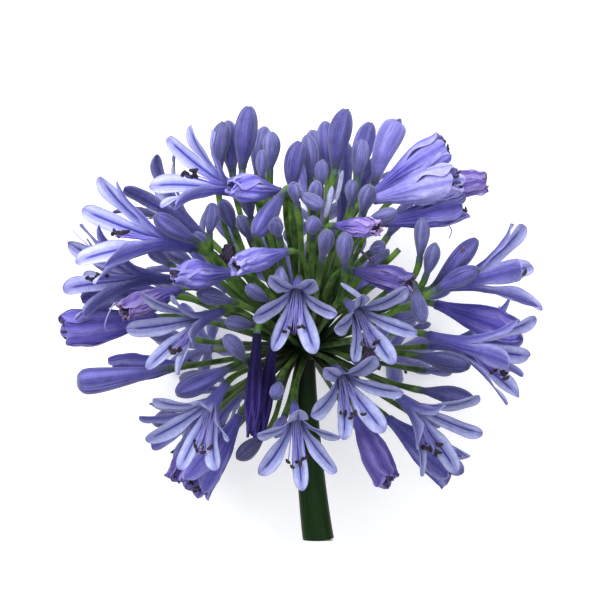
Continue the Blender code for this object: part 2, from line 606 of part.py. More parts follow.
def floret_shell(bloom):
    """Points and faces of a floret: a tube with a hollow throat, and six blades that grow from its rim."""
    form = FORMS[bloom.kind]
    columns = form.columns
    steps = len(columns) - 1
    around = TEPALS * steps
    side, upper = bloom.frame()
    angles = bloom.roll + math.radians(-30) + 2 * math.pi * np.arange(around) / around
    spokes = np.cos(angles)[:, None] * side + np.sin(angles)[:, None] * upper
    points = []
    faces = []

    def add(rows):
        start = sum(len(block) for block in points)
        points.append(np.asarray(rows, float))
        return start

    def strip(low, high):
        """Two triangles for each pair of points in two equal rows."""
        for a, b, c, d in zip(low, low[1:], high[1:], high):
            faces.append((a, b, c))
            faces.append((a, c, d))

    foot = add(bloom.base + form.base_radius * bloom.size * spokes)
    rim = bloom.base + bloom.axis * form.tube * bloom.size
    outer = add(rim + (form.throat_radius * bloom.size + BLADE / 2) * spokes)
    inner = add(rim + (form.throat_radius * bloom.size - BLADE / 2) * spokes)
    floor_centre = rim - bloom.axis * THROAT_DEPTH * bloom.size
    floor = add(floor_centre + THROAT_FLOOR * form.throat_radius * bloom.size * spokes)
    faces.append(tuple(range(foot, foot + around))[::-1])
    faces.append(tuple(range(floor, floor + around)))
    for low, high in ((foot, outer), (inner, floor)):
        strip([low + k % around for k in range(around + 1)], [high + k % around for k in range(around + 1)])

    for tepal in range(TEPALS):
        place = [(tepal * steps + k) % around for k in range(steps + 1)]
        back = [outer + k for k in place]
        front = [inner + k for k in place]
        for t in form.rows:
            middle, normal = tepal_surface(bloom, tepal, np.full(steps + 1, t), columns)
            back_row = add(middle - normal * BLADE / 2)
            front_row = add(middle + normal * BLADE / 2)
            new_back = [back_row + k for k in range(steps + 1)]
            new_front = [front_row + k for k in range(steps + 1)]
            strip(back, new_back)
            for a, b, c, d in zip(front, front[1:], new_front[1:], new_front):
                faces.append((a, c, b))
                faces.append((a, d, c))
            strip([front[0], back[0]], [new_front[0], new_back[0]])
            strip([back[-1], front[-1]], [new_back[-1], new_front[-1]])
            back, front = new_back, new_front
        strip(back, front)
    return np.concatenate(points), faces


def add_object(name, points, faces, colour):
    """A mesh object in metres, at its place over the surface."""
    mesh = bpy.data.meshes.new(name)
    mesh.from_pydata(((points + RECEPTACLE_PLACE) * MM).tolist(), [], faces)
    mesh.update()
    piece = bpy.data.objects.new(name, mesh)
    bpy.context.scene.collection.objects.link(piece)
    mesh.materials.append(material(colour))
    return piece


def material(name):
    """The Principled material of one colour of the plant."""
    if name in bpy.data.materials:
        return bpy.data.materials[name]
    made = bpy.data.materials.new(name)
    made.use_nodes = True
    shader = made.node_tree.nodes["Principled BSDF"]
    colour, roughness = COLOURS[name]
    shader.inputs["Base Color"].default_value = (*colour, 1.0)
    shader.inputs["Roughness"].default_value = roughness
    shader.inputs["Metallic"].default_value = 0.0
    return made


def grow_together(piece, parts):
    """Joins parts into a piece with one Boolean union, applied, and removes them."""
    group = bpy.data.collections.new("parts")
    bpy.context.scene.collection.children.link(group)
    for part in parts:
        bpy.context.scene.collection.objects.unlink(part)
        group.objects.link(part)
    union = piece.modifiers.new("union", "BOOLEAN")
    union.operation = "UNION"
    union.operand_type = "COLLECTION"
    union.collection = group
    union.solver = "EXACT"
    graph = bpy.context.evaluated_depsgraph_get()
    joined = bpy.data.meshes.new_from_object(piece.evaluated_get(graph))
    piece.modifiers.clear()
    piece.data = joined
    for part in parts:
        bpy.data.objects.remove(part)
    bpy.data.collections.remove(group)


def make_floret(name, bloom):
    """An open, closing or faded floret, with its filaments grown into its throat."""
    colour = LOOKS[bloom.kind]
    floret = add_object(name, *floret_shell(bloom), colour)
    filaments = []
    for number in range(FORMS[bloom.kind].filaments):
        path = filament_path(bloom, number, (0.0, 0.6, 1.0))
        radii = (FILAMENT_RADIUS, FILAMENT_RADIUS, ANTHER_RADIUS)
        rings = carried_rings(path, radii, 3, path[-1] - path[-2])
        filaments.append(add_object("filament", *skin(rings), colour))
    if filaments:
        grow_together(floret, filaments)
    return floret


def bud_rings(bloom):
    """Rings of a bud: narrow where it meets its pedicel, widest past the middle, blunt at the tip."""
    fractions, widths = zip(*(SMALL_BUD_PROFILE if bloom.fused else BUD_PROFILE))
    path = bud_points(bloom, fractions)
    radii = np.array(widths) * bloom.radius
    return path, radii


def make_bud(name, bloom):
    """A bud that is a piece of its own."""
    path, radii = bud_rings(bloom)
    return add_object(name, *skin(carried_rings(path, radii, BUD_SIDES, bloom.axis)), "bud")


def make_green(blooms):
    """The scape, its receptacle, every pedicel, and the buds that are grown in one with them."""
    across, upward = np.array((1.0, 0.0, 0.0)), np.array((0.0, 0.0, -1.0))
    rings = []
    for share in (1.0, 0.66, 0.33, 0.1):
        width = SCAPE_TOP_WIDTH + (SCAPE_CUT_WIDTH - SCAPE_TOP_WIDTH) * share
        centre = np.array((SCAPE_DRIFT * share * share, -SCAPE_LENGTH * share, 0.0))
        rings.append(ring_of(centre, across, SCAPE_FLATNESS * upward, width / 2, SCAPE_SIDES))
    for latitude in np.radians((-48, -14, 20, 50, 76)):
        centre = np.array((0.0, RECEPTACLE_RADIUS * math.sin(latitude), 0.0))
        rings.append(ring_of(centre, across, upward, RECEPTACLE_RADIUS * math.cos(latitude), SCAPE_SIDES))
    green = add_object("scape_and_pedicels", *skin(rings), "green")
    stalks = []
    for bloom in blooms:
        fractions = (0.0, 0.5, 1.0) if bloom.fused else (0.0, 0.3, 0.65, 1.0)
        path = pedicel_points(bloom, fractions)
        radii = np.full(len(fractions), PEDICEL_RADIUS)
        radii[0] = PEDICEL_ROOT_RADIUS
        if bloom.fused:
            bud_path, bud_radii = bud_rings(bloom)
            path = np.concatenate((path, bud_path[1:]))
            radii = np.concatenate((radii, bud_radii[1:]))
        sides = 5 if bloom.radius > BUD_OF_FIVE_SIDES else 4
        stalks.append(add_object("stalk", *skin(carried_rings(path, radii, sides, bloom.axis)), "green"))
    grow_together(green, stalks)


def main():
    for old in list(bpy.data.objects):
        bpy.data.objects.remove(old)
    blooms = all_blooms()
    spread_roots(blooms)
    pack_head(blooms)
    counts = {}
    for bloom in blooms:
        if bloom.fused:
            continue
        name = "bud" if bloom.kind == "bud" else LOOKS[bloom.kind] + "_floret"
        counts[name] = counts.get(name, 0) + 1
        name = f"{name}_{counts[name]:02d}"
        if bloom.kind == "bud":
            make_bud(name, bloom)
        else:
            make_floret(name, bloom)
    make_green(blooms)


main()
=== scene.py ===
"""The looks of the agapanthus flower head: fine petals, stamens, buds and stalks, with light and a camera.

The layout in the first half is the solids' own, so that each fine piece lies where its solid does.
Lengths there are in millimetres from the receptacle, and every mesh is made in metres.
"""

import math
import random
from collections import Counter, namedtuple
from dataclasses import dataclass

import bpy
import numpy as np
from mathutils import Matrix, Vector


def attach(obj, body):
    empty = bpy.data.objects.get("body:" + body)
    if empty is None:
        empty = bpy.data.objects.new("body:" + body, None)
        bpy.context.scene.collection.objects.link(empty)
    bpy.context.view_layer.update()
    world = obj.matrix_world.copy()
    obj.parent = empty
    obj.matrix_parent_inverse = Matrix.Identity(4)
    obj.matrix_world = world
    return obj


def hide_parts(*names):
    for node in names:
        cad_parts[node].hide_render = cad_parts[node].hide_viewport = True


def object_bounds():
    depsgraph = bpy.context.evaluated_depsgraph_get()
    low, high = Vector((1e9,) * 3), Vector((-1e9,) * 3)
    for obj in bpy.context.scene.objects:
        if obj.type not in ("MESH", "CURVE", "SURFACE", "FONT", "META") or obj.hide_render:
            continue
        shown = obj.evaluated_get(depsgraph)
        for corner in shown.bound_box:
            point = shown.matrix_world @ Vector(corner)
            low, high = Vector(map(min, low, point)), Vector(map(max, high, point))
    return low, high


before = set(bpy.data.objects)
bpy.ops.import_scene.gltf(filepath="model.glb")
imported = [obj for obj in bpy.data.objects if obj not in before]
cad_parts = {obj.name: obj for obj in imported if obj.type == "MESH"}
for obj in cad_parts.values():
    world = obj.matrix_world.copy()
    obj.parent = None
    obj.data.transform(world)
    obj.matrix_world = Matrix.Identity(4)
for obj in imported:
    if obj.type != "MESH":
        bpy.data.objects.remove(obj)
CAD_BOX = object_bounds()

MM = 0.001
SEED = 7
GOLDEN_ANGLE = math.radians(137.508)
TO_CROWN, TO_VIEWER = np.array((0.0, 1.0, 0.0)), np.array((0.0, 0.0, 1.0))

# A length that counts as none, and that keeps a division by a distance from failing
TINY = 1e-6

# The head as a whole
RECEPTACLE_PLACE = np.array((1.6, -8.5, 74.0))
SCAPE_LENGTH = 78.0
SCAPE_TOP_WIDTH = 7.6
SCAPE_CUT_WIDTH = 12.4
SCAPE_DRIFT = 5.4
SCAPE_FLATNESS = 0.82
RECEPTACLE_RADIUS = 7.6
PEDICEL_ROOT_DEPTH = 1.6
PEDICEL_START = 0.36
PEDICEL_END = 0.26
PEDICEL_LEAVE = 0.3
LOWEST_ROOT = -0.62
ROOT_SPACING = 2.1
ROOT_ROUNDS = 60
ROOT_PUSH, ROOT_PULL_HOME = 0.4, 0.03
SEAT_GAP = 0.3

# Floret shapes
BLADE = 0.7
TEPALS = 6
TIP_WIDTH = 0.35
FILAMENT_LENGTH = 26.0
FILAMENT_ROOT_DEPTH = 7.5
FILAMENT_DROOP = 12.0
FILAMENT_SPACING = 1.15
FILAMENT_SPREAD = 4.0
CHANNEL = 0.16
RIM_BLEND = 0.3
ROOT_FLARE = 0.4
LEAST_LEAN = math.radians(1.5)
NEIGHBOUR_SHARE = 0.54
NEIGHBOUR_GAP = 0.45

# How florets differ from each other, in degrees but for the length of the tepals
FLARE_DRAW = 5.0
UPPER_FLARE = 5.0
SWAY_DRAW = 2.5
ROLL_DRAW = 14.0
STRETCH_RANGE = (0.94, 1.05)

# The hidden back of the head
BACK_BLOOMS = 42
BACK_REACH = 59.0
BACK_START, BACK_DEPTH = 0.20, 0.78
BACK_SIZE = 0.95
BACK_BUD_LENGTHS = {"bud": (16, 22), "small": (9, 13)}
BACK_BUD_RADIUS = 0.19
BACK_FLATTENING = np.array((1.0, 1.0, 0.7))
BACK_RISE = np.array((0.0, 0.1, 0.0))
STEM_CONE_COSINE = 0.74

# Packing, so that no floret crosses another
PACKING_ROUNDS = 110
TEPAL_BALL = 2.1
MOST_FLARE = math.radians(22)
MOST_SWAY = math.radians(6)
MOST_BOW = 9.0
PULL_HOME = 0.02
LEAN_GAIN = 0.7
TEPAL_GAIN = 0.6
BOW_GAIN = 0.45
AWAY_FROM_MIDDLE = 0.6
FOOT_HOLD, SMALL_HOLD = 0.85, 0.3
FOOT_ROWS, FOOT_COLUMNS = (0.45, 0.82, 1.0), (-1, 1)
STALK_BALLS = 11
STALK_BALL = 1.8
STALK_RANGE = (0.4, 0.98)
STALK_HOLD = 0.2
BOW_KEPT = 0.99

# How steady blooms and tepals are: what is added to the weight of all the balls that are pushed
STEADY_BLOOM, STEADY_SPIN, STEADY_TEPAL = 2.0, 200.0, 30.0

# The proportions of one kind of floret, and how many filaments its solid has
Form = namedtuple("Form", "tube base_radius throat_radius tepal half_width lean_at_throat lean_at_tip "
                          "filaments")
FORMS = {
    "open": Form(14.0, 1.7, 3.4, 27.0, 3.6, 20.0, 50.0, 2),
    "plain_open": Form(14.0, 1.7, 3.6, 27.0, 3.4, 17.0, 48.0, 1),
    "closing": Form(12.5, 1.7, 4.2, 20.0, 2.9, 12.0, 4.0, 0),
    "faded": Form(9.0, 1.6, 3.4, 17.0, 2.3, 9.0, -4.0, 0),
    "hanging": Form(15.0, 1.5, 2.3, 22.0, 1.5, 3.0, 0.0, 0),
}

# The colour that each kind has, which also names its piece
LOOKS = {"open": "open", "plain_open": "open", "closing": "closing", "faded": "faded", "hanging": "faded",
         "bud": "bud"}

# Florets seen from the side that open to the viewer: turned so that a gap between two tepals is in front,
# which the tepals beside it leave wider by so many degrees, every second one lying over its neighbours
GAP_IN_FRONT = 30.0
GAP_FAN = (17.0, 6.0, 0.0, 0.0, -6.0, -17.0)
GAP_FLARE = 4.0

# Degrees of turn that bring a tepal straight below the throat of a floret that faces the viewer
TEPAL_BELOW = 28.0

# Places are read off the photograph: x to the right, y to the crown, z towards the viewer.
# A floret row holds its kind, its base, the way it faces and its size, and its turn where it has one.
FRONT_FLORETS = (
    ("open", (-2.5, 25, 57), (-0.04, -0.44, 0.90), 0.88),
    ("open", (16, 17, 55), (0.32, -0.31, 0.89), 0.88),
    ("open", (11.5, -8, 51), (0.20, -0.36, 0.91), 0.92, TEPAL_BELOW),
    ("open", (-4, -22, 43), (0.07, -0.52, 0.85), 0.88, TEPAL_BELOW + 10.0),
    ("open", (-32, 14, 42), (-0.67, -0.26, 0.70), 0.92),
    ("open", (-31, -15, 35), (-0.38, -0.56, 0.72), 0.94),
    ("plain_open", (-34, -22, -4), (-0.78, -0.54, -0.33), 0.86),
    ("plain_open", (-22, 58, 31), (-0.72, 0.25, 0.64), 1.0, GAP_IN_FRONT),
    ("plain_open", (-44, 38, 27), (-0.84, 0.16, 0.52), 1.12, GAP_IN_FRONT),
    ("plain_open", (-40, 43, -3), (-0.74, 0.58, -0.26), 0.94),
    ("plain_open", (-53, 26, 10), (-0.89, 0.08, 0.46), 1.05, GAP_IN_FRONT),
    ("plain_open", (-54, 20, -8), (-0.95, 0.12, 0.12), 1.0),
    ("plain_open", (51, 22.5, 8), (0.95, 0.20, 0.24), 1.1),
    ("plain_open", (48, 4, 21), (0.88, -0.30, 0.36), 1.04),
    ("open", (34, -17.5, 34), (0.60, -0.50, 0.63), 0.96),
    ("closing", (-10, 60, 36), (-0.62, 0.02, 0.78), 0.9),
    ("closing", (-28, 28, 47), (-0.70, -0.10, 0.70), 0.95),
    ("closing", (-59, 11, 8), (-0.98, -0.14, 0.12), 1.16),
    ("closing", (31, 48, 22), (0.93, 0.16, 0.26), 1.0),
    ("closing", (52, 16, -1), (0.93, -0.34, -0.05), 1.1),
    ("closing", (27, 60, 6), (0.80, 0.50, 0.15), 1.08),
    ("closing", (27, 57, 24), (0.90, 0.16, 0.38), 1.13),
    ("closing", (-26, -28, 12), (-0.47, -0.80, 0.34), 1.12),
    ("closing", (33, -29, 12), (0.72, -0.58, 0.36), 1.08),
    ("faded", (43, 61, 9), (0.97, 0.12, 0.10), 1.12),
    ("faded", (-49, 22, 33), (-0.74, -0.34, 0.58), 1.05),
    ("faded", (-8, 36, 57), (-0.70, -0.22, 0.68), 1.0),
    ("faded", (12, 46, 51), (0.66, -0.12, 0.75), 0.85),
    ("faded", (20, -27, 20), (0.38, -0.82, 0.40), 1.2),
    ("faded", (19, 29, 53), (0.78, -0.20, 0.58), 1.02),
    ("hanging", (-20, 5, 37), (-0.18, -0.97, 0.06), 1.06),
    ("hanging", (-12, 2, 30), (-0.10, -0.99, 0.06), 1.04),
    ("faded", (-41, -34, 4), (-0.50, -0.82, 0.18), 0.9),
)

# A bud row holds its base, the way it points, its length and its widest radius.
# These buds are long enough to be pieces of their own.
LARGE_BUDS = (
    ((-25, 70, 10), (0.10, 0.98, 0.10), 25, 4.8),
    ((-29, 69, 1), (-0.08, 0.98, -0.12), 21, 4.6),
    ((-5, 61, 12), (0.16, 0.97, 0.12), 20, 4.3),
    ((12, 70, 11), (0.18, 0.97, 0.08), 24, 4.8),
    ((9, 69, -1), (-0.04, 0.98, -0.14), 21, 4.4),
    ((28, 65, -4), (0.36, 0.93, -0.08), 27, 5.8),
    ((21, 67, -14), (0.22, 0.92, -0.28), 25, 4.6),
    ((50.8, 23.6, 20), (0.64, 0.72, 0.20), 25, 4.1),
    ((51, 21.8, 27), (0.87, 0.42, 0.26), 19, 3.8),
    ((45, -3.5, 28), (0.93, -0.14, 0.34), 21, 4.2),
    ((46, -17.5, 19), (0.95, -0.16, 0.28), 21, 3.8),
    ((-54, -9, 18), (-0.98, -0.14, 0.06), 36, 5.7),
    ((-30, -8.5, 37), (-0.84, -0.40, 0.36), 23, 4.5),
    ((-43, 41, 38), (-0.78, 0.46, 0.42), 19, 4.0),
    ((-9, 58, 46), (-0.46, -0.76, 0.46), 21, 4.4),
)

# Shorter buds, grown in one with the green of the head.
SMALL_BUDS = (
    ((-34, 70, 7), (0.14, 0.98, 0.14), 19, 4.2),
    ((-19, 68, -9), (0.14, 0.96, -0.24), 21, 4.4),
    ((-14, 70, 6), (0.04, 0.99, 0.12), 15, 3.7),
    ((2, 66, 3), (-0.08, 0.99, 0.10), 18, 3.7),
    ((5, 68, -10), (-0.08, 0.95, -0.30), 20, 4.4),
    ((21, 67, 7), (0.14, 0.97, 0.20), 15, 3.5),
    ((22, 51, 37), (0.24, 0.84, 0.48), 13, 3.5),
    ((24, 48, 41), (0.84, 0.28, 0.46), 13, 3.2),
    ((-3, 59, 43), (0.66, -0.40, 0.62), 13, 3.2),
    ((15, 32, 57), (0.02, 0.80, 0.60), 15, 3.5),
    ((33, 24, 46), (0.42, -0.40, 0.82), 14, 4.2),
    ((45, 35, 28), (0.08, 0.94, 0.32), 16, 3.2),
    ((47, 28, 28), (0.20, 0.86, 0.46), 14, 3.2),
    ((43, 22, 34), (0.14, -0.86, 0.50), 15, 3.4),
    ((-23, -5, 39), (-0.50, 0.66, 0.56), 14, 3.5),
    ((-17, -36, 13), (-0.70, -0.58, 0.40), 14, 3.7),
    ((-9, -27, 26), (-0.40, -0.70, 0.60), 10, 3.2),
    ((-10, -14, 36), (-0.20, -0.60, 0.76), 9, 3.0),
    ((-29, 18, 45), (-0.76, 0.22, 0.60), 15, 3.7),
    ((-17, 65, 20), (0.02, 0.97, 0.24), 12, 2.7),
    ((6, 62, 24), (0.06, 0.94, 0.34), 11, 2.8),
    ((3, 52, 40), (0.06, 0.90, 0.42), 12, 2.9),
    ((-2, 55, 45), (-0.10, 0.86, 0.50), 9, 2.6),
    ((18, 55, 33), (0.02, 0.92, 0.40), 10, 2.8),
    ((-10, 42, 53), (-0.10, 0.60, 0.80), 11, 3.0),
    ((-9, 30, 58), (0.04, -0.70, 0.72), 12, 3.2),
    ((3, 43, 54), (0.04, 0.60, 0.80), 10, 2.9),
    ((7, 34, 58), (0.20, 0.70, 0.68), 14, 3.2),
    ((-37, 44, 38), (0.10, 0.90, 0.44), 13, 3.1),
    ((-53, 33, 27), (-0.60, 0.60, 0.52), 11, 3.0),
    ((25, 36, 50), (0.50, 0.30, 0.80), 9, 2.8),
    ((27, 6, 50), (0.40, 0.10, 0.90), 10, 2.9),
    ((-28, 46, 20), (-0.34, 0.80, 0.34), 13, 3.3),
    ((-21, 50, 22), (-0.20, 0.84, 0.36), 12, 3.1),
    ((-44, 32, 4), (-0.80, 0.46, 0.10), 14, 3.3),
    ((-36, 36, 16), (-0.60, 0.66, 0.30), 12, 3.0),
    ((-20, 42, 4), (-0.40, 0.86, 0.10), 12, 3.1),
    ((-15, 18, 24), (-0.76, 0.52, 0.30), 11, 2.9),
    ((-20, 8, 17), (-0.92, 0.14, 0.26), 12, 3.1),
    ((32, 10, 10), (0.94, 0.14, 0.20), 12, 3.1),
    ((18, -5, 16), (0.88, -0.36, 0.20), 11, 2.9),
    ((24, 30, 14), (0.72, 0.62, 0.24), 12, 3.0),
)

# Three florets at the back that the head rests on
FEET = (
    ("plain_open", (-37, -2, -38), (-0.30, 0.06, -0.95), 0.98),
    ("plain_open", (33, -5, -38), (0.26, 0.08, -0.95), 0.98),
    ("plain_open", (4, 47, -37), (0.05, 0.36, -0.93), 0.98),
)

# What else grows at the back, taken in turn along the spiral
BACK_KINDS = ("plain_open", "bud", "small", "bud", "closing", "small", "bud", "plain_open", "small", "bud",
              "small")

# Places along the spiral left empty, because the photograph shows through between the front blooms there
SPIRAL_GAPS = (16, 18, 26, 28, 29)


@dataclass
class Bloom:
    """One floret or bud with its pedicel, in millimetres from the receptacle."""

    kind: str
    base: np.ndarray
    axis: np.ndarray
    size: float
    radius: float
    fused: bool
    roll: float
    held: float
    flare: np.ndarray
    sway: np.ndarray
    fan: np.ndarray
    stretch: np.ndarray
    bow: np.ndarray
    root: np.ndarray

    def frame(self):
        """Unit vectors to its side and to its upper side, away from where the filaments lie."""
        down = -TO_CROWN if abs(self.axis[1]) < 0.97 else TO_VIEWER
        upper = unit(-down + self.axis * (down @ self.axis))
        side = np.cross(upper, self.axis)
        return side, upper


def unit(vector):
    vector = np.asarray(vector, float)
    return vector / np.linalg.norm(vector)


def walk(*steps):
    """Where one gets from the start by going each amount its own way."""
    return sum(np.asarray(amount)[..., None] * way for amount, way in steps)


def smooth_step(x):
    x = np.clip(x, 0.0, 1.0)
    return x * x * (3.0 - 2.0 * x)


def make_bloom(draw, kind, base, axis, size, turn=0.0, radius=0.0, fused=False, held=0.5):
    """A bloom with its own small irregularities, drawn from the seeded generator."""
    flare = np.array([draw.uniform(-FLARE_DRAW, FLARE_DRAW) for _ in range(TEPALS)])
    flare += UPPER_FLARE * np.sin(np.radians(60) * np.arange(TEPALS))
    sway = np.array([draw.uniform(-SWAY_DRAW, SWAY_DRAW) for _ in range(TEPALS)])
    stretch = np.array([draw.uniform(*STRETCH_RANGE) for _ in range(TEPALS)])
    roll = math.radians(turn + draw.uniform(-ROLL_DRAW, ROLL_DRAW))
    fan = np.zeros(TEPALS)
    if turn == GAP_IN_FRONT:
        fan += np.radians(GAP_FAN)
        flare += GAP_FLARE * (-1.0) ** np.arange(TEPALS)
    return Bloom(kind, np.array(base, float), unit(axis), size, radius, fused, roll, held,
                 np.radians(flare), np.radians(sway), fan, stretch, np.zeros(3), unit(base))


def spiral_direction(index, count):
    """Directions spread evenly over the back of the head, deeper with each turn."""
    depth = BACK_START + BACK_DEPTH * (index + 0.5) / count
    across = math.sqrt(1.0 - depth * depth)
    angle = index * GOLDEN_ANGLE
    return np.array((across * math.cos(angle), across * math.sin(angle), -depth))


def back_bloom(draw, kind, direction):
    """A bloom at the back. The surface bends it outward, so it faces less straight down."""
    reach = BACK_REACH * (1.0 + 0.10 * direction[2])
    facing = direction * BACK_FLATTENING + BACK_RISE
    if kind in BACK_BUD_LENGTHS:
        length = draw.uniform(*BACK_BUD_LENGTHS[kind])
        radius = BACK_BUD_RADIUS * length
        return make_bloom(draw, "bud", direction * reach, facing, length, 0.0, radius, True, 0.0)
    return make_bloom(draw, kind, direction * (reach - 6), facing, BACK_SIZE, held=0.0)


def all_blooms():
    """Every bloom of the head, before it is packed."""
    draw = random.Random(SEED)
    blooms = [make_bloom(draw, *row) for row in FRONT_FLORETS]
    for table, ways in ((LARGE_BUDS, {}), (SMALL_BUDS, {"fused": True, "held": SMALL_HOLD})):
        blooms += [make_bloom(draw, "bud", *place, radius=radius, **ways) for *place, radius in table]
    blooms += [make_bloom(draw, *row, held=FOOT_HOLD) for row in FEET]
    for index in range(BACK_BLOOMS):
        direction = spiral_direction(index, BACK_BLOOMS)
        if -direction[1] > STEM_CONE_COSINE or index in SPIRAL_GAPS:
            continue
        blooms.append(back_bloom(draw, BACK_KINDS[index % len(BACK_KINDS)], direction))
    return blooms


def spread_roots(blooms):
    """Spaces the pedicels' roots out over the receptacle, each near the way to its bloom."""
    roots = np.array([unit(bloom.base) for bloom in blooms])
    home = roots.copy()
    apart = ROOT_SPACING / RECEPTACLE_RADIUS
    for _ in range(ROOT_ROUNDS):
        line = roots[:, None] - roots[None, :]
        distance = np.linalg.norm(line, axis=2) + TINY
        push = np.clip(apart - distance, 0.0, None) * (distance > 1e-5)
        pushed = (line * (push / distance)[..., None]).sum(1)
        roots = roots + ROOT_PUSH * pushed + ROOT_PULL_HOME * (home - roots)
        roots[:, 1] = np.maximum(roots[:, 1], LOWEST_ROOT)
        roots /= np.linalg.norm(roots, axis=1)[:, None]
    for bloom, root in zip(blooms, roots):
        bloom.root = root


def tepal_radial(bloom, tepal):
    """The way tepal number `tepal` leans out from the floret's axis, and the way across it."""
    side, upper = bloom.frame()
    angle = bloom.roll + math.radians(60 * tepal)
    outward = math.cos(angle) * side + math.sin(angle) * upper
    across = -math.sin(angle) * side + math.cos(angle) * upper
    return outward, across


def tepal_half_width(form, t):
    """Half the tepal's width at t along it: narrow at the throat, broad, with a rounded tip."""
    broad = smooth_step(t / 0.5)
    width = form.half_width * broad + 0.5 * form.throat_radius * (1.0 - broad)
    tip = np.clip((t - 0.68) / 0.32, 0.0, 1.0)
    return width * np.sqrt(1.0 - (1.0 - TIP_WIDTH**2) * tip * tip)


def tepal_line(bloom, tepal, t):
    """A tepal's midline, t along it: how far along the axis, how far from it, its lean, and its length."""
    form = FORMS[bloom.kind]
    start = max(math.radians(form.lean_at_throat) + ROOT_FLARE * bloom.flare[tepal], LEAST_LEAN)
    turn = math.radians(form.lean_at_tip) + bloom.flare[tepal] - start
    turn = turn if abs(turn) > 1e-3 else 1e-3
    lean = start + turn * t
    length = form.tepal * bloom.size * bloom.stretch[tepal]
    along = form.tube * bloom.size + length * (np.sin(lean) - math.sin(start)) / turn
    radius = form.throat_radius * bloom.size + length * (math.cos(start) - np.cos(lean)) / turn
    return along, radius, lean, length


def tepal_surface(bloom, tepal, t, s):
    """Points of a tepal's middle surface, t along it and s across it, and normals of its inner face."""
    form = FORMS[bloom.kind]
    outward, across = tepal_radial(bloom, tepal)
    t, s = np.asarray(t, float), np.asarray(s, float)
    along, radius, lean, length = tepal_line(bloom, tepal, t)
    inner = walk((np.sin(lean), bloom.axis), (-np.cos(lean), outward))
    half = np.minimum(tepal_half_width(form, t) * bloom.size, NEIGHBOUR_SHARE * radius - NEIGHBOUR_GAP)
    swing = length * t * math.sin(bloom.sway[tepal] + bloom.fan[tepal])
    flat = walk((along, bloom.axis), (radius, outward), (half * s, across), (CHANNEL * half * s * s, inner),
                (swing, across))
    turn = math.radians(30) * s
    ring = walk((along, bloom.axis), (radius * np.cos(turn), outward), (radius * np.sin(turn), across))
    blend = smooth_step(t / RIM_BLEND)[..., None]
    return bloom.base + ring * (1.0 - blend) + flat * blend, inner


def tube_radius(form, fraction):
    """The perianth tube's radius at a fraction of its length."""
    return form.base_radius + (form.throat_radius - form.base_radius) * fraction**1.6


def pedicel_points(bloom, fractions):
    """Points along a pedicel: out of the receptacle, then round to meet the bloom along its axis."""
    end = bloom.base - SEAT_GAP * bloom.axis * (0.0 if bloom.fused else 1.0)
    reach = np.linalg.norm(end)
    start = bloom.root * (RECEPTACLE_RADIUS - PEDICEL_ROOT_DEPTH)
    leave = unit(bloom.root + PEDICEL_LEAVE * (end / reach - bloom.axis))
    first = start + leave * reach * PEDICEL_START + bloom.bow
    second = end - bloom.axis * reach * PEDICEL_END + bloom.bow
    f = np.asarray(fractions, float)[:, None]
    g = 1.0 - f
    return g**3 * start + 3 * g * g * f * first + 3 * g * f * f * second + f**3 * end


def filament_path(bloom, fractions):
    """The solid's outer filament: out of the throat, drooping to the lower side, its end curled up."""
    side, upper = bloom.frame()
    form = FORMS[bloom.kind]
    f = np.asarray(fractions, float)
    place = 1 - (form.filaments - 1) / 2
    droop = FILAMENT_DROOP * (1.0 + 0.1 * place) * (1.3 * f**2.2 - 0.35 * f**5)
    forward = form.tube - FILAMENT_ROOT_DEPTH + FILAMENT_LENGTH * f
    aside = place * (FILAMENT_SPACING + FILAMENT_SPREAD * f)
    return bloom.base + walk((forward, bloom.axis), (-droop, upper), (aside, side)) * bloom.size


def bud_points(bloom, fractions):
    """Points along a bud's axis."""
    return bloom.base + np.asarray(fractions, float)[:, None] * bloom.size * bloom.axis


def packing_balls(bloom):
    """Balls that stand for a bloom while the head is packed.

    Each has a centre, a radius, the tepal that it belongs to or -1, the directions in which the
    tepal's flare and sway carry it, and its distance from the tepal's root.
    """
    def fixed(centres, radii):
        nothing = np.zeros((len(radii), 3))
        return centres, radii, np.full(len(radii), -1), nothing, nothing, np.ones(len(radii))

    if bloom.kind == "bud":
        radii = np.array((0.5, 0.75, 1.0, 0.85)) * bloom.radius + 0.5
        return fixed(bud_points(bloom, (0.1, 0.4, 0.68, 0.9)), radii)
    form = FORMS[bloom.kind]
    steps = np.array((0.15, 0.55, 0.95))
    tube = bloom.base + (form.tube * bloom.size * steps)[:, None] * bloom.axis
    balls = [fixed(tube, tube_radius(form, steps) * bloom.size + 0.6)]
    if form.filaments:
        balls.append(fixed(filament_path(bloom, (0.45, 0.7, 0.95)), np.array((1.8, 2.4, 2.6))))
    sides = (-0.5, 0.5) if form.filaments else (0.0,)
    t, s = (grid.ravel() for grid in np.meshgrid((0.22, 0.42, 0.62, 0.82, 1.0), sides, indexing="ij"))
    for tepal in range(TEPALS):
        points, inner = tepal_surface(bloom, tepal, t, s)
        sway_way = np.tile(tepal_radial(bloom, tepal)[1], (len(t), 1))
        balls.append((points, np.full(len(t), TEPAL_BALL), np.full(len(t), tepal), -inner, sway_way,
                      form.tepal * bloom.size * t))
    return tuple(np.concatenate(part) for part in zip(*balls))


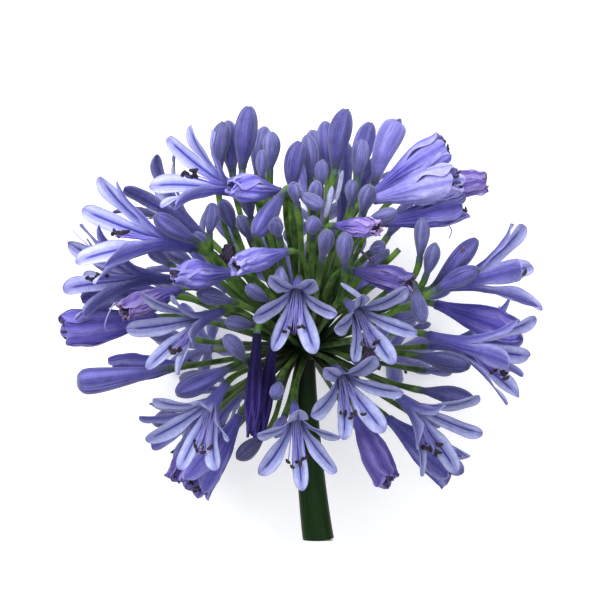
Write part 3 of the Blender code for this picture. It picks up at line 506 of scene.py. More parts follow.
def push_apart(points, centres, may_touch, reach, held):
    """How far each ball is pushed by those it sinks into, away from them and from their bloom's middle."""
    squared = (points * points).sum(1)
    apart = squared[:, None] + squared[None, :] - 2.0 * points @ points.T
    first, second = np.nonzero((apart < reach * reach) & ~may_touch)
    line = points[first] - points[second]
    distance = np.linalg.norm(line, axis=1) + TINY
    depth = reach[first, second] - distance
    share = (1.0 - held[first]) / (2.0 - held[first] - held[second])
    away = centres[first] - centres[second]
    way_off = np.linalg.norm(away, axis=1)[:, None] + TINY
    line = line / distance[:, None] + AWAY_FROM_MIDDLE * away / way_off
    line = line / (np.linalg.norm(line, axis=1)[:, None] + TINY)
    push = np.zeros_like(points)
    np.add.at(push, first, line * (depth * share)[:, None])
    return push


def pack_head(blooms):
    """Leans blooms, tepals and pedicels apart until hardly anything crosses, and off the surface."""
    surface = -RECEPTACLE_PLACE[2]
    homes = [(bloom.base.copy(), bloom.axis.copy()) for bloom in blooms]
    fractions = np.linspace(*STALK_RANGE, STALK_BALLS)
    balls = [packing_balls(bloom) for bloom in blooms]
    sizes = [len(ball[1]) for ball in balls] + [STALK_BALLS] * len(blooms)
    radii = np.concatenate([ball[1] for ball in balls] + [np.full(STALK_BALLS, STALK_BALL)] * len(blooms))
    held = np.repeat([bloom.held for bloom in blooms] + [STALK_HOLD] * len(blooms), sizes)
    owner = np.repeat(list(range(len(blooms))) * 2, sizes)
    is_stalk = np.repeat([False] * len(blooms) + [True] * len(blooms), sizes)
    may_touch = (owner[:, None] == owner[None, :]) | (is_stalk[:, None] & is_stalk[None, :])
    reach = (radii[:, None] + radii[None, :]).astype(np.float32)
    starts = np.concatenate(((0,), np.cumsum(sizes)))
    for turn in range(PACKING_ROUNDS):
        pull = PULL_HOME * max(0.0, 1.0 - 1.4 * turn / PACKING_ROUNDS)
        balls = [packing_balls(bloom) for bloom in blooms]
        stalks = [pedicel_points(bloom, fractions) for bloom in blooms]
        points = [ball[0] for ball in balls] + stalks
        centres = np.repeat([group.mean(0) for group in points], sizes, axis=0)
        points = np.concatenate(points).astype(np.float32)
        push = push_apart(points, centres, may_touch, reach, held)
        push[:, 2] += np.maximum(surface + 1.0 + 0.5 * radii - points[:, 2], 0.0)
        for i, bloom in enumerate(blooms):
            lean_bloom(bloom, balls[i], push[starts[i]:starts[i + 1]], homes[i], pull)
            stalk = len(blooms) + i
            bloom.bow = BOW_KEPT * bloom.bow + BOW_GAIN * push[starts[stalk]:starts[stalk + 1]].sum(0)
            bloom.bow *= min(1.0, MOST_BOW / (np.linalg.norm(bloom.bow) + 1e-9))
    for bloom in blooms:
        if bloom.held == FOOT_HOLD:
            bloom.base[2] -= lowest_point(bloom) - surface


def lowest_point(bloom):
    """The height of the lowest corner of a foot's solid tepals."""
    t, s = np.meshgrid(FOOT_ROWS, FOOT_COLUMNS, indexing="ij")
    corners = [tepal_surface(bloom, tepal, t.ravel(), s.ravel()) for tepal in range(TEPALS)]
    return min((middle[:, 2] - np.abs(normal[:, 2]) * BLADE / 2).min() for middle, normal in corners)


def lean_bloom(bloom, balls, push, home, pull):
    """Moves one bloom, and each of its tepals, by its share of the push on its balls."""
    centres, _, owner, flare_way, sway_way, lever = balls
    pushed = np.linalg.norm(push, axis=1) > TINY
    if pushed.any():
        count = pushed.sum() + STEADY_BLOOM
        arm = centres - bloom.base
        bloom.base = bloom.base + LEAN_GAIN * push.sum(0) / count
        spin = np.cross(arm, push).sum(0) / ((arm * arm).sum(1)[pushed].sum() + STEADY_SPIN)
        bloom.axis = unit(bloom.axis + LEAN_GAIN * np.cross(spin, bloom.axis))
        for tepal in range(TEPALS):
            mine = owner == tepal
            if not (mine & pushed).any():
                continue
            weight = (lever[mine & pushed] ** 2).sum() + STEADY_TEPAL
            flare = ((push[mine] * flare_way[mine]).sum(1) * lever[mine]).sum() / weight
            sway = ((push[mine] * sway_way[mine]).sum(1) * lever[mine]).sum() / weight
            bloom.flare[tepal] = np.clip(bloom.flare[tepal] + TEPAL_GAIN * flare, -MOST_FLARE, MOST_FLARE)
            bloom.sway[tepal] = np.clip(bloom.sway[tepal] + TEPAL_GAIN * sway, -MOST_SWAY, MOST_SWAY)
    bloom.base = bloom.base + pull * (home[0] - bloom.base)
    bloom.axis = unit(bloom.axis + pull * (home[1] - bloom.axis))


# Fine shapes, in millimetres, and their numbers of rows and sides
SHEET = 0.34
PEDICEL_THICKNESS = 1.12
JOINT_THICKNESS = 1.45
FILAMENT_THICKNESS = 0.3
ANTHER_LENGTH = 2.9
ANTHER_THICKNESS = 0.66
TUBE_ROWS, BLADE_ROWS, COLUMNS = 7, 17, 10
TUBE_SHARE, BLADE_SHARE = 0.34, 0.66
MIDRIB_DEPTH, MIDRIB_WIDTH = 0.16, 0.16
INNER_WHORL, OUTER_WHORL, USUAL_WHORL = 3.5, 2.8, 3.4
STAMENS = 6
SPENT_ANTHERS = 5
BUD_GIRTH = 0.95
BUD_ROWS, BUD_SIDES = 22, 30
PEDICEL_ROWS, PEDICEL_SIDES = 15, 8
SCAPE_ROWS, SCAPE_SIDES = 34, 36
STRIP_FLATNESS = 0.3

# The places of a floret's materials
PETAL, THREAD, ANTHER = 0, 1, 2


def link(name, data):
    """A new object in the scene."""
    made = bpy.data.objects.new(name, data)
    bpy.context.scene.collection.objects.link(made)
    return made


class Piece:
    """Points, faces and marks of one piece. The marks are what its materials read at each point:
    how far along the part it lies, how far across, and 1 on a face that looks into the flower."""

    def __init__(self, name):
        self.name = name
        self.points, self.marks, self.tones = [], [], []
        self.faces, self.slots = [], []
        self.tone = 0.0
        self.count = 0

    def add(self, points, marks, slot, *face_groups):
        self.tones.append(np.full(len(points), self.tone, np.float32))
        self.points.append(points)
        self.marks.append(marks)
        for faces in face_groups:
            self.faces += (faces + self.count).tolist()
            self.slots += [slot] * len(faces)
        self.count += len(points)

    def finish(self, materials, nodes, finish_slot):
        """Makes the object, kept within the solids' box, hangs it on the root, and hides the solids of the
        nodes it stands for.
        """
        points = (np.concatenate(self.points) + RECEPTACLE_PLACE) * MM
        mesh = bpy.data.meshes.new(self.name)
        mesh.from_pydata(np.clip(points, CAD_BOX[0], CAD_BOX[1]).tolist(), [], self.faces)
        marks = np.concatenate(self.marks).astype(np.float32)
        mesh.attributes.new("marks", "FLOAT_VECTOR", "POINT").data.foreach_set("vector", marks.ravel())
        mesh.attributes.new("tone", "FLOAT", "POINT").data.foreach_set("value", np.concatenate(self.tones))
        for material in materials:
            mesh.materials.append(material)
        mesh.polygons.foreach_set("material_index", self.slots)
        mesh.shade_smooth()
        mesh.set_sharp_from_angle(angle=math.radians(55))
        made = link(self.name, mesh)
        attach(made, "root")
        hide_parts(*nodes)


def grid_quads(rows, columns, closed=False):
    """Quads of a grid of points, row after row. Its columns may close into a ring."""
    first = np.arange(rows - 1)[:, None] * columns
    column = np.arange(columns if closed else columns - 1)[None, :]
    a = first + column
    b = first + (column + 1) % columns
    return np.stack((a, b, b + columns, a + columns), axis=-1).reshape(-1, 4)


def round_angles(sides):
    return 2 * math.pi * np.arange(sides) / sides


def marks_of(along, across, inner):
    return np.stack(np.broadcast_arrays(along, across, inner), axis=-1).reshape(-1, 3).astype(float)


def add_sheet(piece, middle, inward, thickness, along, across, slot):
    """A thin closed sheet round a middle surface in rows and columns. `inward` is the side of its face."""
    rows, columns = middle.shape[:2]
    normal = np.cross(np.gradient(middle, axis=1), np.gradient(middle, axis=0))
    normal /= np.linalg.norm(normal, axis=2)[..., None] + 1e-12
    if (normal * inward).sum() < 0:
        middle, normal, thickness = middle[:, ::-1], -normal[:, ::-1], thickness[:, ::-1]
        along, across = along[:, ::-1], across[:, ::-1]
    front = middle + normal * thickness[..., None] / 2
    back = middle - normal * thickness[..., None] / 2
    points = np.concatenate((front.reshape(-1, 3), back.reshape(-1, 3)))
    marks = np.concatenate((marks_of(along, across, 1.0), marks_of(along, across, 0.0)))
    quads = grid_quads(rows, columns)
    index = np.arange(rows * columns).reshape(rows, columns)
    rim = np.concatenate((index[0], index[1:, -1], index[-1, -2::-1], index[-2:0:-1, 0]))
    ahead = np.roll(rim, -1)
    edge = np.stack((ahead, rim, rim + rows * columns, ahead + rows * columns), axis=1)
    piece.add(points, marks, slot, quads, quads[:, ::-1] + rows * columns, edge)


def add_tube(piece, path, radii, sides, slot, shape=None, flat=1.0, turn=None):
    """A closed tube along a path. `shape` multiplies the radius for each ring and side. With `turn`, its
    marks hold the cosine and sine of the angle around it from there, and else they are those of a back."""
    path = np.asarray(path, float)
    tangents = np.gradient(path, axis=0)
    tangents /= np.linalg.norm(tangents, axis=1)[:, None]
    guide = TO_VIEWER if abs(tangents[0][2]) < 0.9 else TO_CROWN
    across = np.cross(guide, tangents[0])
    angles = round_angles(sides)
    cosine, sine = np.cos(angles)[:, None], np.sin(angles)[:, None]
    rings = []
    for k, (centre, tangent, radius) in enumerate(zip(path, tangents, radii)):
        across = unit(across - tangent * (across @ tangent))
        other = flat * np.cross(tangent, across)
        wide = radius * (np.ones(sides) if shape is None else shape[k])
        rings.append(centre + wide[:, None] * (cosine * across + sine * other))
    rows = len(path)
    points = np.concatenate((np.concatenate(rings), path[:1], path[-1:]))
    along = np.repeat(np.linspace(0, 1, rows), sides)
    around = np.tile(angles - (turn or 0.0), rows)
    rounds = (0.5, 0.0) if turn is None else (np.cos(around), np.sin(around))
    ends = ((0.0, 0.5, 0.0), (1.0, 0.5, 0.0)) if turn is None else ((0.0, 0.0, 0.0), (1.0, 0.0, 0.0))
    marks = np.concatenate((marks_of(along, *rounds), ends))
    ring = np.arange(sides)
    ahead = (ring + 1) % sides
    last = (rows - 1) * sides
    foot = np.stack((ahead, ring, 0 * ring + rows * sides), axis=1)
    head = np.stack((last + ring, last + ahead, 0 * ring + rows * sides + 1), axis=1)
    piece.add(points, marks, slot, grid_quads(rows, sides, closed=True), foot, head)


# How the petals of one kind of floret are held, creased and curled
Habit = namedtuple("Habit", "flat spread widest whorl_gap ruffle fold crumple curl twist pinch")
HABITS = {
    "open": Habit(1.0, 0.56, 1.14, 0.0, 0.45, 0.14, 0.0, 1.2, 12.0, 0.0),
    "plain_open": Habit(1.0, 0.72, 1.2, 0.5, 0.6, 0.16, 0.05, 1.6, 14.0, 0.0),
    "closing": Habit(0.25, 0.84, 1.5, 0.5, 0.6, 0.34, 0.25, -1.4, 10.0, 0.2),
    "faded": Habit(0.15, 0.85, 1.3, 0.35, 0.4, 0.25, 0.8, 1.5, 22.0, 0.4),
    "hanging": Habit(0.1, 0.8, 1.2, 0.2, 0.15, 0.3, 0.35, 0.6, 10.0, 0.6),
}

# What differs in some closing florets, by number, such as a mouth that has shut or petals that are smooth
OWN_HABITS = {
    1: {"pinch": 0.78, "curl": 2.2, "ruffle": 0.9, "widest": 1.3},
    2: {"pinch": 0.8, "curl": 2.0, "ruffle": 0.9, "widest": 1.3},
    4: {"pinch": 0.3, "curl": 0.8, "crumple": 0.12},
    5: {"pinch": 0.5, "curl": 0.8, "crumple": 0.14},
    6: {"pinch": 0.3, "curl": 0.8, "crumple": 0.12},
    7: {"curl": 1.4, "ruffle": 1.0, "crumple": 0.05, "fold": 0.2},
    8: {"pinch": 0.1, "curl": 1.6, "ruffle": 0.9},
    9: {"pinch": 0.1, "curl": 1.8, "ruffle": 1.0},
}


def blade_half_width(widest, claw, t):
    """Half a petal's width: a narrow claw, broadest well past the middle, and a rounded end."""
    broad = smooth_step(t / 0.62)
    tip = np.clip((t - 0.72) / 0.28, 0.0, 1.0)
    return (widest * broad + claw * (1.0 - broad)) * np.sqrt(1.0 - 0.99 * tip**2.5)


# A petal's rows, from the tube's foot to the tip: how far each lies along the axis and off it, its lean,
# its mark, its place on the blade, how free of the tube it is, its half width, and its bend across
Rows = namedtuple("Rows", "along radius lean mark blade free half bend")


def petal_rows(bloom, tepal, habit):
    """The rows of one petal, and its blade's length."""
    form, size = FORMS[bloom.kind], bloom.size
    f = np.linspace(0.0, 1.0, TUBE_ROWS)
    t = 1.0 - (1.0 - np.linspace(0.0, 1.0, BLADE_ROWS + 1)[1:]) ** 1.5
    along, radius, lean, length = tepal_line(bloom, tepal, t)
    along = np.concatenate((f * form.tube * size, along))
    radius = np.concatenate((tube_radius(form, f) * size, radius))
    root_lean = tepal_line(bloom, tepal, np.zeros(1))[2][0]
    lean = np.concatenate((root_lean * f**2, lean))
    mark = np.concatenate((f * TUBE_SHARE, TUBE_SHARE + BLADE_SHARE * t))
    blade = np.concatenate((np.zeros(TUBE_ROWS), t))
    free = smooth_step(blade / 0.3)
    outer = tepal % 2 == 0
    whorl = OUTER_WHORL if outer else INNER_WHORL
    widest = habit.widest * whorl / USUAL_WHORL * form.half_width * size
    half = blade_half_width(widest, 0.5 * form.throat_radius * size, blade)
    half = np.minimum(half, habit.spread * radius - 0.25 * free)
    half = radius * (math.pi / TEPALS) * (1.0 - free) + half * free
    flatness = habit.flat * smooth_step(blade / 0.25)
    bend = (1.0 - flatness) / radius + flatness * 2 * CHANNEL / half
    radius = radius + (0.5 if outer else -0.5) * habit.whorl_gap * free
    radius = radius * (1.0 - habit.pinch * smooth_step((blade - 0.4) / 0.6))
    return Rows(along, radius, lean, mark, blade, free, half, bend), length


def petal_relief(habit, size, rows, u, s, draw):
    """How far each point of a petal reaches across it and stands above it: its curve, ruffles, midrib and
    fold, and once it withers, pleats along it and wrinkles across its end."""
    def wave(across, along, shift):
        return np.sin(across * s + along * u + shift)

    angle = (rows.bend * rows.half)[:, None] * s
    reach = np.sin(angle) / rows.bend[:, None]
    rise = (1.0 - np.cos(angle)) / rows.bend[:, None]
    phase = [draw.uniform(0, 2 * math.pi) for _ in range(6)]
    free = rows.free[:, None]
    waves = np.sin(2 * math.pi * 2.4 * u + phase[0] + 1.1 * s)
    rise = rise + habit.ruffle * free * s**2 * waves * size
    rise = rise - MIDRIB_DEPTH * free * np.exp(-(s / MIDRIB_WIDTH) ** 2)
    rise = rise - habit.fold * smooth_step(u / 0.3) * np.cos(3 * math.pi * s)
    if habit.crumple:
        pleats = wave(8.5, 3.0, phase[1]) + 0.7 * wave(14.0, -5.0, phase[2])
        wrinkles = wave(5.0, 33.0, phase[3]) + wave(-7.0, 21.0, phase[4])
        withered = 0.2 + 0.9 * smooth_step((u - 0.72) / 0.25)
        creases = 0.36 * pleats + 0.4 * withered * wrinkles
        rise = rise + habit.crumple * smooth_step(u / 0.45) * creases
        reach = reach + habit.crumple * 0.5 * withered * smooth_step(u / 0.5) * wave(0.0, 23.0, phase[5])
    return reach, rise


def add_petal(piece, bloom, tepal, draw, habit):
    """One petal with its share of the tube: six of them make the whole funnel."""
    outward, across = tepal_radial(bloom, tepal)
    rows, length = petal_rows(bloom, tepal, habit)
    u, s = np.meshgrid(rows.mark, np.linspace(-1.0, 1.0, COLUMNS + 1), indexing="ij")
    twist = math.radians(draw.uniform(-habit.twist, habit.twist)) * rows.blade
    inward = walk((np.sin(rows.lean), bloom.axis), (-np.cos(rows.lean), outward))
    sideways = walk((np.cos(twist), across), (np.sin(twist), inward))
    upward = walk((np.cos(twist), inward), (-np.sin(twist), across))
    swing = length * rows.blade * math.sin(bloom.sway[tepal] + bloom.fan[tepal])
    curl = draw.uniform(-0.4, 1.0) * habit.curl * bloom.size * rows.blade**5
    middle = walk((rows.along, bloom.axis), (rows.radius, outward), (swing, across), (-curl, inward))
    reach, rise = petal_relief(habit, bloom.size, rows, u, s, draw)
    points = middle[:, None, :] + reach[..., None] * sideways[:, None, :]
    points = bloom.base + (points + rise[..., None] * upward[:, None, :])
    thickness = SHEET * (1.0 - 0.45 * s**2) * (1.0 - 0.3 * rows.blade[:, None])
    add_sheet(piece, points, np.broadcast_to(inward[:, None, :], points.shape), thickness, u, s, PETAL)


def add_stamens(piece, bloom, draw, bold=1.0, sag=1.0, lift=0.0):
    """Six filaments with dark anthers and a style, drooping together along the floret's lower side. Where
    they stand out in the photograph they are bolder, sag less and rise by so much towards the viewer."""
    side, upper = bloom.frame()
    form = FORMS[bloom.kind]
    f = np.linspace(0.0, 1.0, 12)
    places = list(range(STAMENS)) + [2.5]
    for number, place in enumerate(places):
        is_style = number == STAMENS
        place = place - (STAMENS - 1) / 2
        reach = 1.04 - draw.uniform(0.0, 0.26)
        droop = sag * FILAMENT_DROOP * draw.uniform(0.84, 1.02) * (1.3 * f**2.2 - 0.42 * f**5)
        droop = droop - 0.7 * abs(place) * f
        forward = form.tube - FILAMENT_ROOT_DEPTH + FILAMENT_LENGTH * reach * f
        sideways = place * (0.5 + 1.1 * f**1.3) + draw.uniform(-0.5, 0.5) * f**2
        path = walk((forward, bloom.axis), (-droop, upper), (sideways, side), (lift * f**2, TO_VIEWER))
        path = bloom.base + path * bloom.size
        radii = FILAMENT_THICKNESS * (1.0 - 0.35 * f)
        add_tube(piece, path, radii, 5, THREAD)
        if not is_style:
            add_anther(piece, bloom, path, draw, bold)


def add_shrunken_stamens(piece, bloom, draw):
    """A few spent anthers that show in the mouth of a closing or faded floret."""
    side, upper = bloom.frame()
    form = FORMS[bloom.kind]
    for number in range(SPENT_ANTHERS):
        round_axis = 2 * math.pi * (number + draw.uniform(-0.3, 0.3)) / SPENT_ANTHERS
        away = math.cos(round_axis) * side + math.sin(round_axis) * upper
        end = form.tube + form.tepal * draw.uniform(0.84, 1.0)
        f = np.linspace(0.5, 1.0, 6)
        out = draw.uniform(0.35, 0.75) * form.throat_radius * f**2
        path = bloom.base + walk((end * f, bloom.axis), (out, away)) * bloom.size
        add_tube(piece, path, FILAMENT_THICKNESS * (1.1 - 0.4 * f), 5, THREAD)
        add_anther(piece, bloom, path, draw, 0.8)


def add_anther(piece, bloom, path, draw, bold=1.0):
    """A dark curved anther, balanced across its filament's end."""
    side, upper = bloom.frame()
    ahead = unit(path[-1] - path[-2])
    ways = ((ahead, 0.3, 1.0), (upper, -0.2, 0.9), (side, -0.7, 0.7))
    lie = unit(sum(way * draw.uniform(least, most) for way, least, most in ways))
    bow = unit(np.cross(lie, side) + 0.3 * upper)
    g = np.linspace(-1.0, 1.0, 7)
    line = path[-1] + ANTHER_LENGTH / 2 * bold * g[:, None] * lie + (0.55 * g**2)[:, None] * bow
    radii = ANTHER_THICKNESS * bold * np.sqrt(1.04 - 0.94 * g**2)
    add_tube(piece, line, radii, 6, ANTHER)


def add_joint(piece, bloom):
    """The small rounded foot by which a floret sits on its pedicel."""
    f = np.linspace(-0.06, 0.16, 5)
    path = bloom.base + f[:, None] * FORMS[bloom.kind].tube * bloom.axis
    radii = FORMS[bloom.kind].base_radius * bloom.size * np.array((0.72, 0.98, 1.0, 0.9, 0.4))
    add_tube(piece, path, radii, 14, PETAL)


# Thin things between the blooms: what they are, how thick, and the line they follow. The bare stalks stand
# for those in the shade, and the others are read off the photograph.
THREADS = (
    ("style", 0.3, (52, 52, 24), (56, 47.5, 25), (57.4, 45, 24), (56.2, 42, 23)),
    ("style", 0.3, (-73.5, 17, 36), (-76, 12.5, 37), (-77.6, 7.6, 36), (-75.6, 5.2, 35)),
    ("withered", 0.5, (20, 37.5, 60), (22.6, 34.6, 61), (26, 31.6, 60)),
    ("style", 0.32, (-92, 46, 14), (-88, 41.8, 18), (-81, 36.2, 20), (-74, 31.8, 19)),
    ("stub", 1.15, (28, 30, 38), (32.6, 33.8, 41), (36, 37.4, 42)),
    ("strip", 1.1, (10.6, 62.4, 28), (9.2, 56, 33), (7.6, 49.6, 37)),
    ("strip", 0.9, (14.8, 69, 18), (13.4, 62, 25), (12, 56.4, 29)),
    ("strip", 1.0, (13.4, 24.4, 52), (18.6, 20.8, 54), (23.6, 16.8, 53)),
    ("withered", 2.3, (-33.6, 30.6, 20), (-30.4, 35.6, 23), (-28.6, 39.8, 22)),
    ("withered", 1.9, (-41, 24, 18), (-45.4, 25.6, 21), (-50, 25.4, 20)),
    ("withered", 1.9, (28, 1.6, 30), (24, -4.6, 32), (22.6, -9.4, 30)),
    ("bare", 1.1, (-5, -1, 3), (-16, -2.4, 9), (-28, -6, 12)),
    ("bare", 1.1, (-3, -4, 3), (-8, -12, 6), (-11, -20, 8)),
    ("bare", 1.0, (-1.5, -5, 2), (-3.2, -14, 4), (-4, -24, 5)),
    ("bare", 1.1, (4, 3, 4), (10, 11, 8), (20, 17, 10)),
    ("bare", 1.0, (4, 4, 3), (13, 15, 6), (26, 24, 8)),
    ("bare", 1.1, (5, 2, 3), (16, 7.6, 6), (30, 17, 8)),
    ("bare", 1.1, (3, 5, 4), (9, 16, 8), (12, 28, 12)),
    ("bare", 1.0, (-4, 4, 4), (-13, 11, 8), (-26, 16, 10)),
    ("bare", 1.1, (-5, 2, 3), (-18, 4, 7), (-32, 8, 10)),
    ("bare", 1.1, (5, -2, 3), (16, -3.4, 8), (30, -9, 10)),
    ("bare", 1.0, (-4, -3, 3), (-15, -11, 6), (-25, -21, 7)),
    ("bare", 1.0, (4, -3, 3), (13, -10, 6), (24, -22, 8)),
)

# The place of each one's material in the loose scraps, and its number of sides
THREAD_LOOKS = {"stub": (0, 8), "bare": (0, 8), "style": (1, 6), "strip": (2, 14), "withered": (3, 14)}
# Painted shade: the bare stalks are darker, as they lie in the head's shaded middle
BARE_STALK_SHADE = -2.4


def add_threads(piece, draw):
    """Loose styles, a cut stub, bare stalks, papery strips and withered scraps between the pedicels."""
    f = np.linspace(0.0, 1.0, 14)
    for what, thickness, *line in THREADS:
        slot, sides = THREAD_LOOKS[what]
        knots = np.linspace(0.0, 1.0, len(line))
        path = np.stack([np.interp(f, knots, [point[k] for point in line]) for k in range(3)], axis=1)
        path[1:-1] = (path[:-2] + 2 * path[1:-1] + path[2:]) / 4
        # Bare stalks get their painted shade here
        piece.tone = draw.uniform(-1, 1) + (BARE_STALK_SHADE if what == "bare" else 0.0)
        radii = thickness * np.ones(len(f))
        shape = None
        if what == "style":
            radii = thickness * (1.0 - 0.3 * f)
        elif what in ("strip", "withered"):
            radii = thickness * np.sqrt(np.clip(1.02 - (2 * f - 1) ** 4, 0.04, 1.0))
        if what == "withered":
            angles = round_angles(sides)
            waves = np.sin(4 * angles + 9 * f[:, None]) + np.sin(7 * angles - 13 * f[:, None])
            shape = 1.0 + 0.2 * waves
        flat = STRIP_FLATNESS if what == "strip" else 1.0
        add_tube(piece, path, radii, sides, slot, shape, flat, turn=0.0)


def bud_outline(f, blunt):
    """A bud's radius along it: a spindle that is widest past its middle or, the blunter it is, a club."""
    spindle = 0.36 + 0.64 * smooth_step(f / 0.6) ** 0.72
    tip = np.clip((f - 0.6) / 0.4, 0.0, 1.0)
    spindle = spindle * (1.0 - 0.92 * tip**2.3) ** 0.6
    club = 0.27 + 0.73 * smooth_step(f / 0.92) ** 0.9
    end = np.clip((f - 0.86) / 0.14, 0.0, 1.0)
    club = club * np.sqrt(1.0 - 0.9 * end**2.6)
    return spindle * (1.0 - blunt) + club * blunt


def add_spot(piece, bloom, path, slot):
    """A small brown bruise near a bud's tip, on its upper side."""
    up = unit(np.array((-0.2, 0.3, 1.0)) - bloom.axis * bloom.axis[2])
    surface = bloom.radius * BUD_GIRTH * 0.94
    line = path[12] + surface * up + np.linspace(-1.1, 1.1, 5)[:, None] * bloom.axis
    add_tube(piece, line, np.array((0.3, 0.8, 0.95, 0.8, 0.3)), 10, slot, flat=0.3, turn=0.0)


def add_bud(piece, bloom, draw, slot, blunt=0.0, spot=False):
    """A ridged bud: three outer petals that meet in three seams, and sink in a little where they close."""
    f = 1.0 - (1.0 - np.linspace(0.0, 1.0, BUD_ROWS)) ** 1.5
    along = f[:, None]
    side, upper = bloom.frame()
    bend = 0.05 * bloom.size * np.sin(math.pi * f)
    lean = draw.uniform(-1, 1) * side + draw.uniform(-0.6, 0.6) * upper
    path = bud_points(bloom, f) + bend[:, None] * lean
    path[-1] = path[-1] - 0.3 * bloom.axis
    angles = round_angles(BUD_SIDES)
    turn = draw.uniform(0, 2 * math.pi)
    around = angles - turn
    strength = smooth_step(f / 0.3) * (1.0 - 0.2 * f)
    lobes = 0.07 * np.cos(3 * around) - 0.1 * np.exp(-(np.cos(1.5 * around) / 0.2) ** 2)
    shape = 1.0 + strength[:, None] * (lobes + 0.03 * np.cos(6 * around + 2 * along))
    shape = shape + 0.02 * np.sin(9 * along + 2 * angles + turn)
    radii = bud_outline(f, blunt) * BUD_GIRTH * bloom.radius
    add_tube(piece, path, radii, BUD_SIDES, slot, shape, turn=turn)
    if spot:
        add_spot(piece, bloom, path, slot + 1)


def add_pedicel(piece, bloom, slot):
    """A slim green stalk, a little thicker where it meets its flower."""
    f = np.linspace(0.0, 1.0, PEDICEL_ROWS)
    path = pedicel_points(bloom, f)
    path[-1] = bloom.base + 0.2 * bloom.axis
    radii = PEDICEL_THICKNESS * (1.0 + 0.12 * np.cos(2 * math.pi * f))
    radii[-2:] = JOINT_THICKNESS
    radii[-3] = (PEDICEL_THICKNESS + JOINT_THICKNESS) / 2
    add_tube(piece, path, radii, PEDICEL_SIDES, slot, turn=0.0)


def add_scape(piece, slot, cut_slot):
    """The scape with its ribs, the fallen spathe's scar and the cut end, and the receptacle at its top."""
    angles = round_angles(SCAPE_SIDES)
    share = np.linspace(1.0, 0.04, SCAPE_ROWS)
    path = np.stack((SCAPE_DRIFT * share**2, -SCAPE_LENGTH * share, 0 * share), axis=1)
    radii = (SCAPE_TOP_WIDTH + (SCAPE_CUT_WIDTH - SCAPE_TOP_WIDTH) * share) / 2
    scar = 0.6 * np.exp(-((share - 0.075) / 0.012) ** 2)
    ribs = 1.0 + 0.012 * np.cos(12 * angles)[None, :] + 0.008 * np.sin(9 * share[:, None] + 5 * angles)
    add_tube(piece, path, radii + scar, SCAPE_SIDES, slot, ribs, SCAPE_FLATNESS, turn=0.0)
    latitude = np.radians(np.linspace(-52, 86, 14))
    dome = np.stack((0 * latitude, RECEPTACLE_RADIUS * np.sin(latitude), 0 * latitude), axis=1)
    bumps = 1.0 + 0.04 * np.sin(7 * angles)[None, :] * np.cos(9 * latitude)[:, None]
    add_tube(piece, dome, RECEPTACLE_RADIUS * np.cos(latitude), SCAPE_SIDES, slot, bumps, turn=0.0)
    cut = path[:1] + np.array((0.0, -0.05, 0.0)) * np.arange(2)[:, None]
    add_tube(piece, cut, np.array((0.98, 0.9)) * radii[0], SCAPE_SIDES, cut_slot, flat=SCAPE_FLATNESS)


def linear(colour):
    """A colour such as 8e94c6 as Blender's materials want it: linear light from 0 to 1, and opaque."""
    light = []
    for part in bytes.fromhex(colour):
        part = part / 255
        light.append(((part + 0.055) / 1.055) ** 2.4 if part > 0.04 else part / 12.92)
    return (*light, 1.0)


